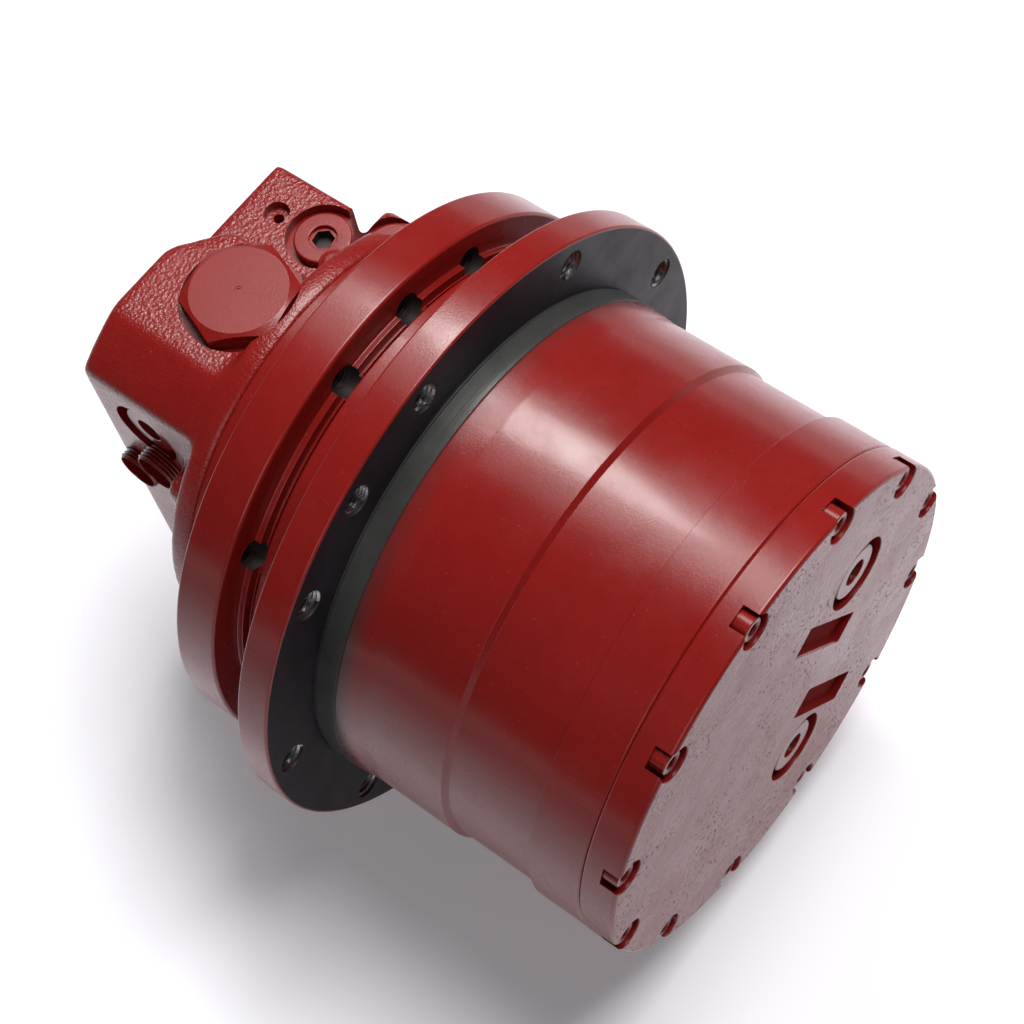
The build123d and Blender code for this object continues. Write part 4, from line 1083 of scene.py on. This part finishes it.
def makeAdapters():
    s, b = adapterSizes, blockSizes
    pieces = []
    for k, (y, z, reach) in enumerate(b.ports):
        tip = -reach
        inner = b.left + s.seatDepth
        length = inner - tip
        corners = [(s.bore, 0, 0), (s.root, 0, 0), (s.root, length - 0.8, 0),
                   (s.root - 0.3, length, 0.15), (s.bore + 0.2, length, 0.15),
                   (s.bore, length - 0.5, 0.1)]
        pipe = spinShape(f"adapter{k}", roundedOutline(corners, 2), 64)
        # A near-black disc closes the bore near its inner end: painted shade standing in for the deep
        # passage
        rim = s.bore + 0.2
        floor = spinShape(f"adapterShadeDisc{k}", [(0, 0.5), (rim, 0.5), (rim, 1.5), (0, 1.5)], 64)
        wear(pipe, "fitting")
        wear(floor, "bore")
        shaded(pipe)
        for piece in (pipe, floor):
            moved(piece, (inner, y, z), backward, leftward)
        start = (tip + s.threadInset + s.threadLength, y, z)
        thread = threadMesh(f"adapterThread{k}", s.root, s.pitch, s.threadLength, s.ridge,
                            start, leftward, "fitting", 48)
        pieces += [pipe, floor, thread]
    settle(joined("portAdapters", pieces), "frame_side", "port_adapters")


makeAdapters()

longBolt = named({"head": 6.6, "socket": 4.0, "socketDepth": 5.0})


def makeLongBolts():
    s, b = longBolt, blockSizes
    bolts = []
    for k, angle in enumerate(b.boltAngles):
        seat = b.rear - b.boltHeadDepth
        corners = [(0, seat, 0), (s.head, seat, 0), (s.head, b.rear, 0.7), (0, b.rear, 0)]
        bolt = spinShape(f"bolt{k}", roundedOutline(corners), 48)
        cutter = bmesh.new()
        addHexBar(cutter, (0, b.rear + 1, 0), forward, s.socketDepth + 1, s.socket)
        cutAway(bolt, finished("socket", cutter))
        bolt.data.transform(Matrix.Translation(onCircle(b.boltCircle, angle) * mm))
        wear(bolt, "fitting")
        bolts.append(shaded(bolt))
    settle(joined("longBolts", bolts), "frame_side", "port_block_bolts")


makeLongBolts()


# Pieces inside keep their solids and get their own finish

innerFinish = {
    "gear": ("ring_gear", "first_sun_gear", "second_sun_gear"),
    "bronze": ("thrust_pad", "valve_plate", "piston_shoes"),
    "rubber": ("seal_rubber_hub", "seal_rubber_frame", "shaft_seal", "cover_seal"),
    "lining": ("friction_plates",),
    "iron": ("second_carrier", "first_carrier", "brake_piston", "swash_plate", "cylinder_block"),
}
finishOf = {node: name for name, group in innerFinish.items() for node in group}
for nodeName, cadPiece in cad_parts.items():
    finish = finishes[finishOf.get(nodeName, "gear" if "_planet_" in nodeName else "steel")]
    for place in cadPiece.material_slots:
        place.material = finish
print("inner pieces finished")


# Studio

studio = named({
    "floor": -0.1316, "floorHalf": 16.0,
    "camera": (-0.25595, -0.31327, 0.75154),
    "forward": (0.31093, 0.36381, -0.87805), "right": (0.60691, -0.78696, -0.11114),
    "up": (0.73142, 0.49834, 0.46549), "focal": 2.129 * 36.0,
    "nearFloor": (0.84, 0.83, 0.87), "midFloor": (0.40, 0.40, 0.42), "midFrom": 0.45, "midTo": 0.90,
    "nearGlow": 0.10, "farGlow": 0.80, "farFrom": 1.2, "farTo": 2.5,
    "worldColour": (0.85, 0.89, 1.0, 1), "world": 0.07,
    "lamps": {
        "highlightBox": {"place": (0.41, 0.33, 0.94), "size": 0.24, "power": 4.2},
        "haloBox": {"place": (0.36, 0.42, 1.05), "size": 0.6, "power": 2.4},
        "keyBox": {"place": (0.72, -0.28, 2.08), "size": 1.1, "power": 56.0},
        "fillBox": {"place": (-1.6, -0.6, 1.3), "size": 1.2, "power": 8.0},
    },
})


def makeCamera():
    camera = bpy.data.cameras.new("photoCamera")
    camera.sensor_width = 36.0
    camera.lens = studio.focal
    camera.clip_start = 0.05
    holder = bpy.data.objects.new("photoCamera", camera)
    bpy.context.scene.collection.objects.link(holder)
    right, up, ahead = [Vector(axis) for axis in (studio.right, studio.up, studio.forward)]
    rotation = Matrix((right, up, -ahead)).transposed().to_4x4()
    holder.matrix_world = Matrix.Translation(Vector(studio.camera)) @ rotation
    bpy.context.scene.camera = holder


def makeFloor():
    half = studio.floorHalf
    shape = bmesh.new()
    shape.faces.new([shape.verts.new((x * half, y * half, studio.floor))
                     for x, y in ((-1, -1), (1, -1), (1, 1), (-1, 1))])
    floor = finished("floor", shape)
    # Pale round the part, greyer further out, and bright again where low views end
    finish = Finish("studioFloor")
    reach = finish.node("ShaderNodeVectorMath", {"operation": "LENGTH"}, {0: finish.place}, output="Value")
    straight, mirrored, through = finish.several(
        ("Is Camera Ray", "Is Glossy Ray", "Is Transmission Ray"), "ShaderNodeLightPath")
    seen = straight + mirrored + through
    tone = finish.mix(finish.ramp(reach, 0.0, 1.0, studio.midFrom, studio.midTo),
                      studio.nearFloor, studio.midFloor)
    strength = finish.ramp(reach, studio.nearGlow, studio.farGlow, studio.farFrom, studio.farTo)
    soft = finish.node("ShaderNodeBsdfDiffuse", None, {"Color": tone})
    glow = finish.node("ShaderNodeEmission", None, {"Color": (1, 1, 1, 1), "Strength": seen * strength})
    both = finish.node("ShaderNodeAddShader", None, {0: soft, 1: glow})
    finish.node("ShaderNodeOutputMaterial", None, {"Surface": both})
    floor.data.materials.append(finish.material)


def softBox(name, place, size, power):
    # A square lamp that looks at the part
    lamp = bpy.data.lights.new(name, "AREA")
    lamp.size = size
    lamp.energy = power
    holder = bpy.data.objects.new(name, lamp)
    bpy.context.scene.collection.objects.link(holder)
    look = (-Vector(place)).to_track_quat("-Z", "Y").to_matrix().to_4x4()
    holder.matrix_world = Matrix.Translation(Vector(place)) @ look


def makeWorld():
    world = bpy.data.worlds.new("studioWorld")
    bpy.context.scene.world = world
    world.use_nodes = True
    background = world.node_tree.nodes["Background"]
    background.inputs["Color"].default_value = studio.worldColour
    background.inputs["Strength"].default_value = studio.world


makeCamera()
makeFloor()
makeWorld()
for lampName, lampSizes in studio.lamps.items():
    softBox(lampName, **lampSizes)
bpy.context.scene.view_settings.view_transform = "Standard"

print("studio made")
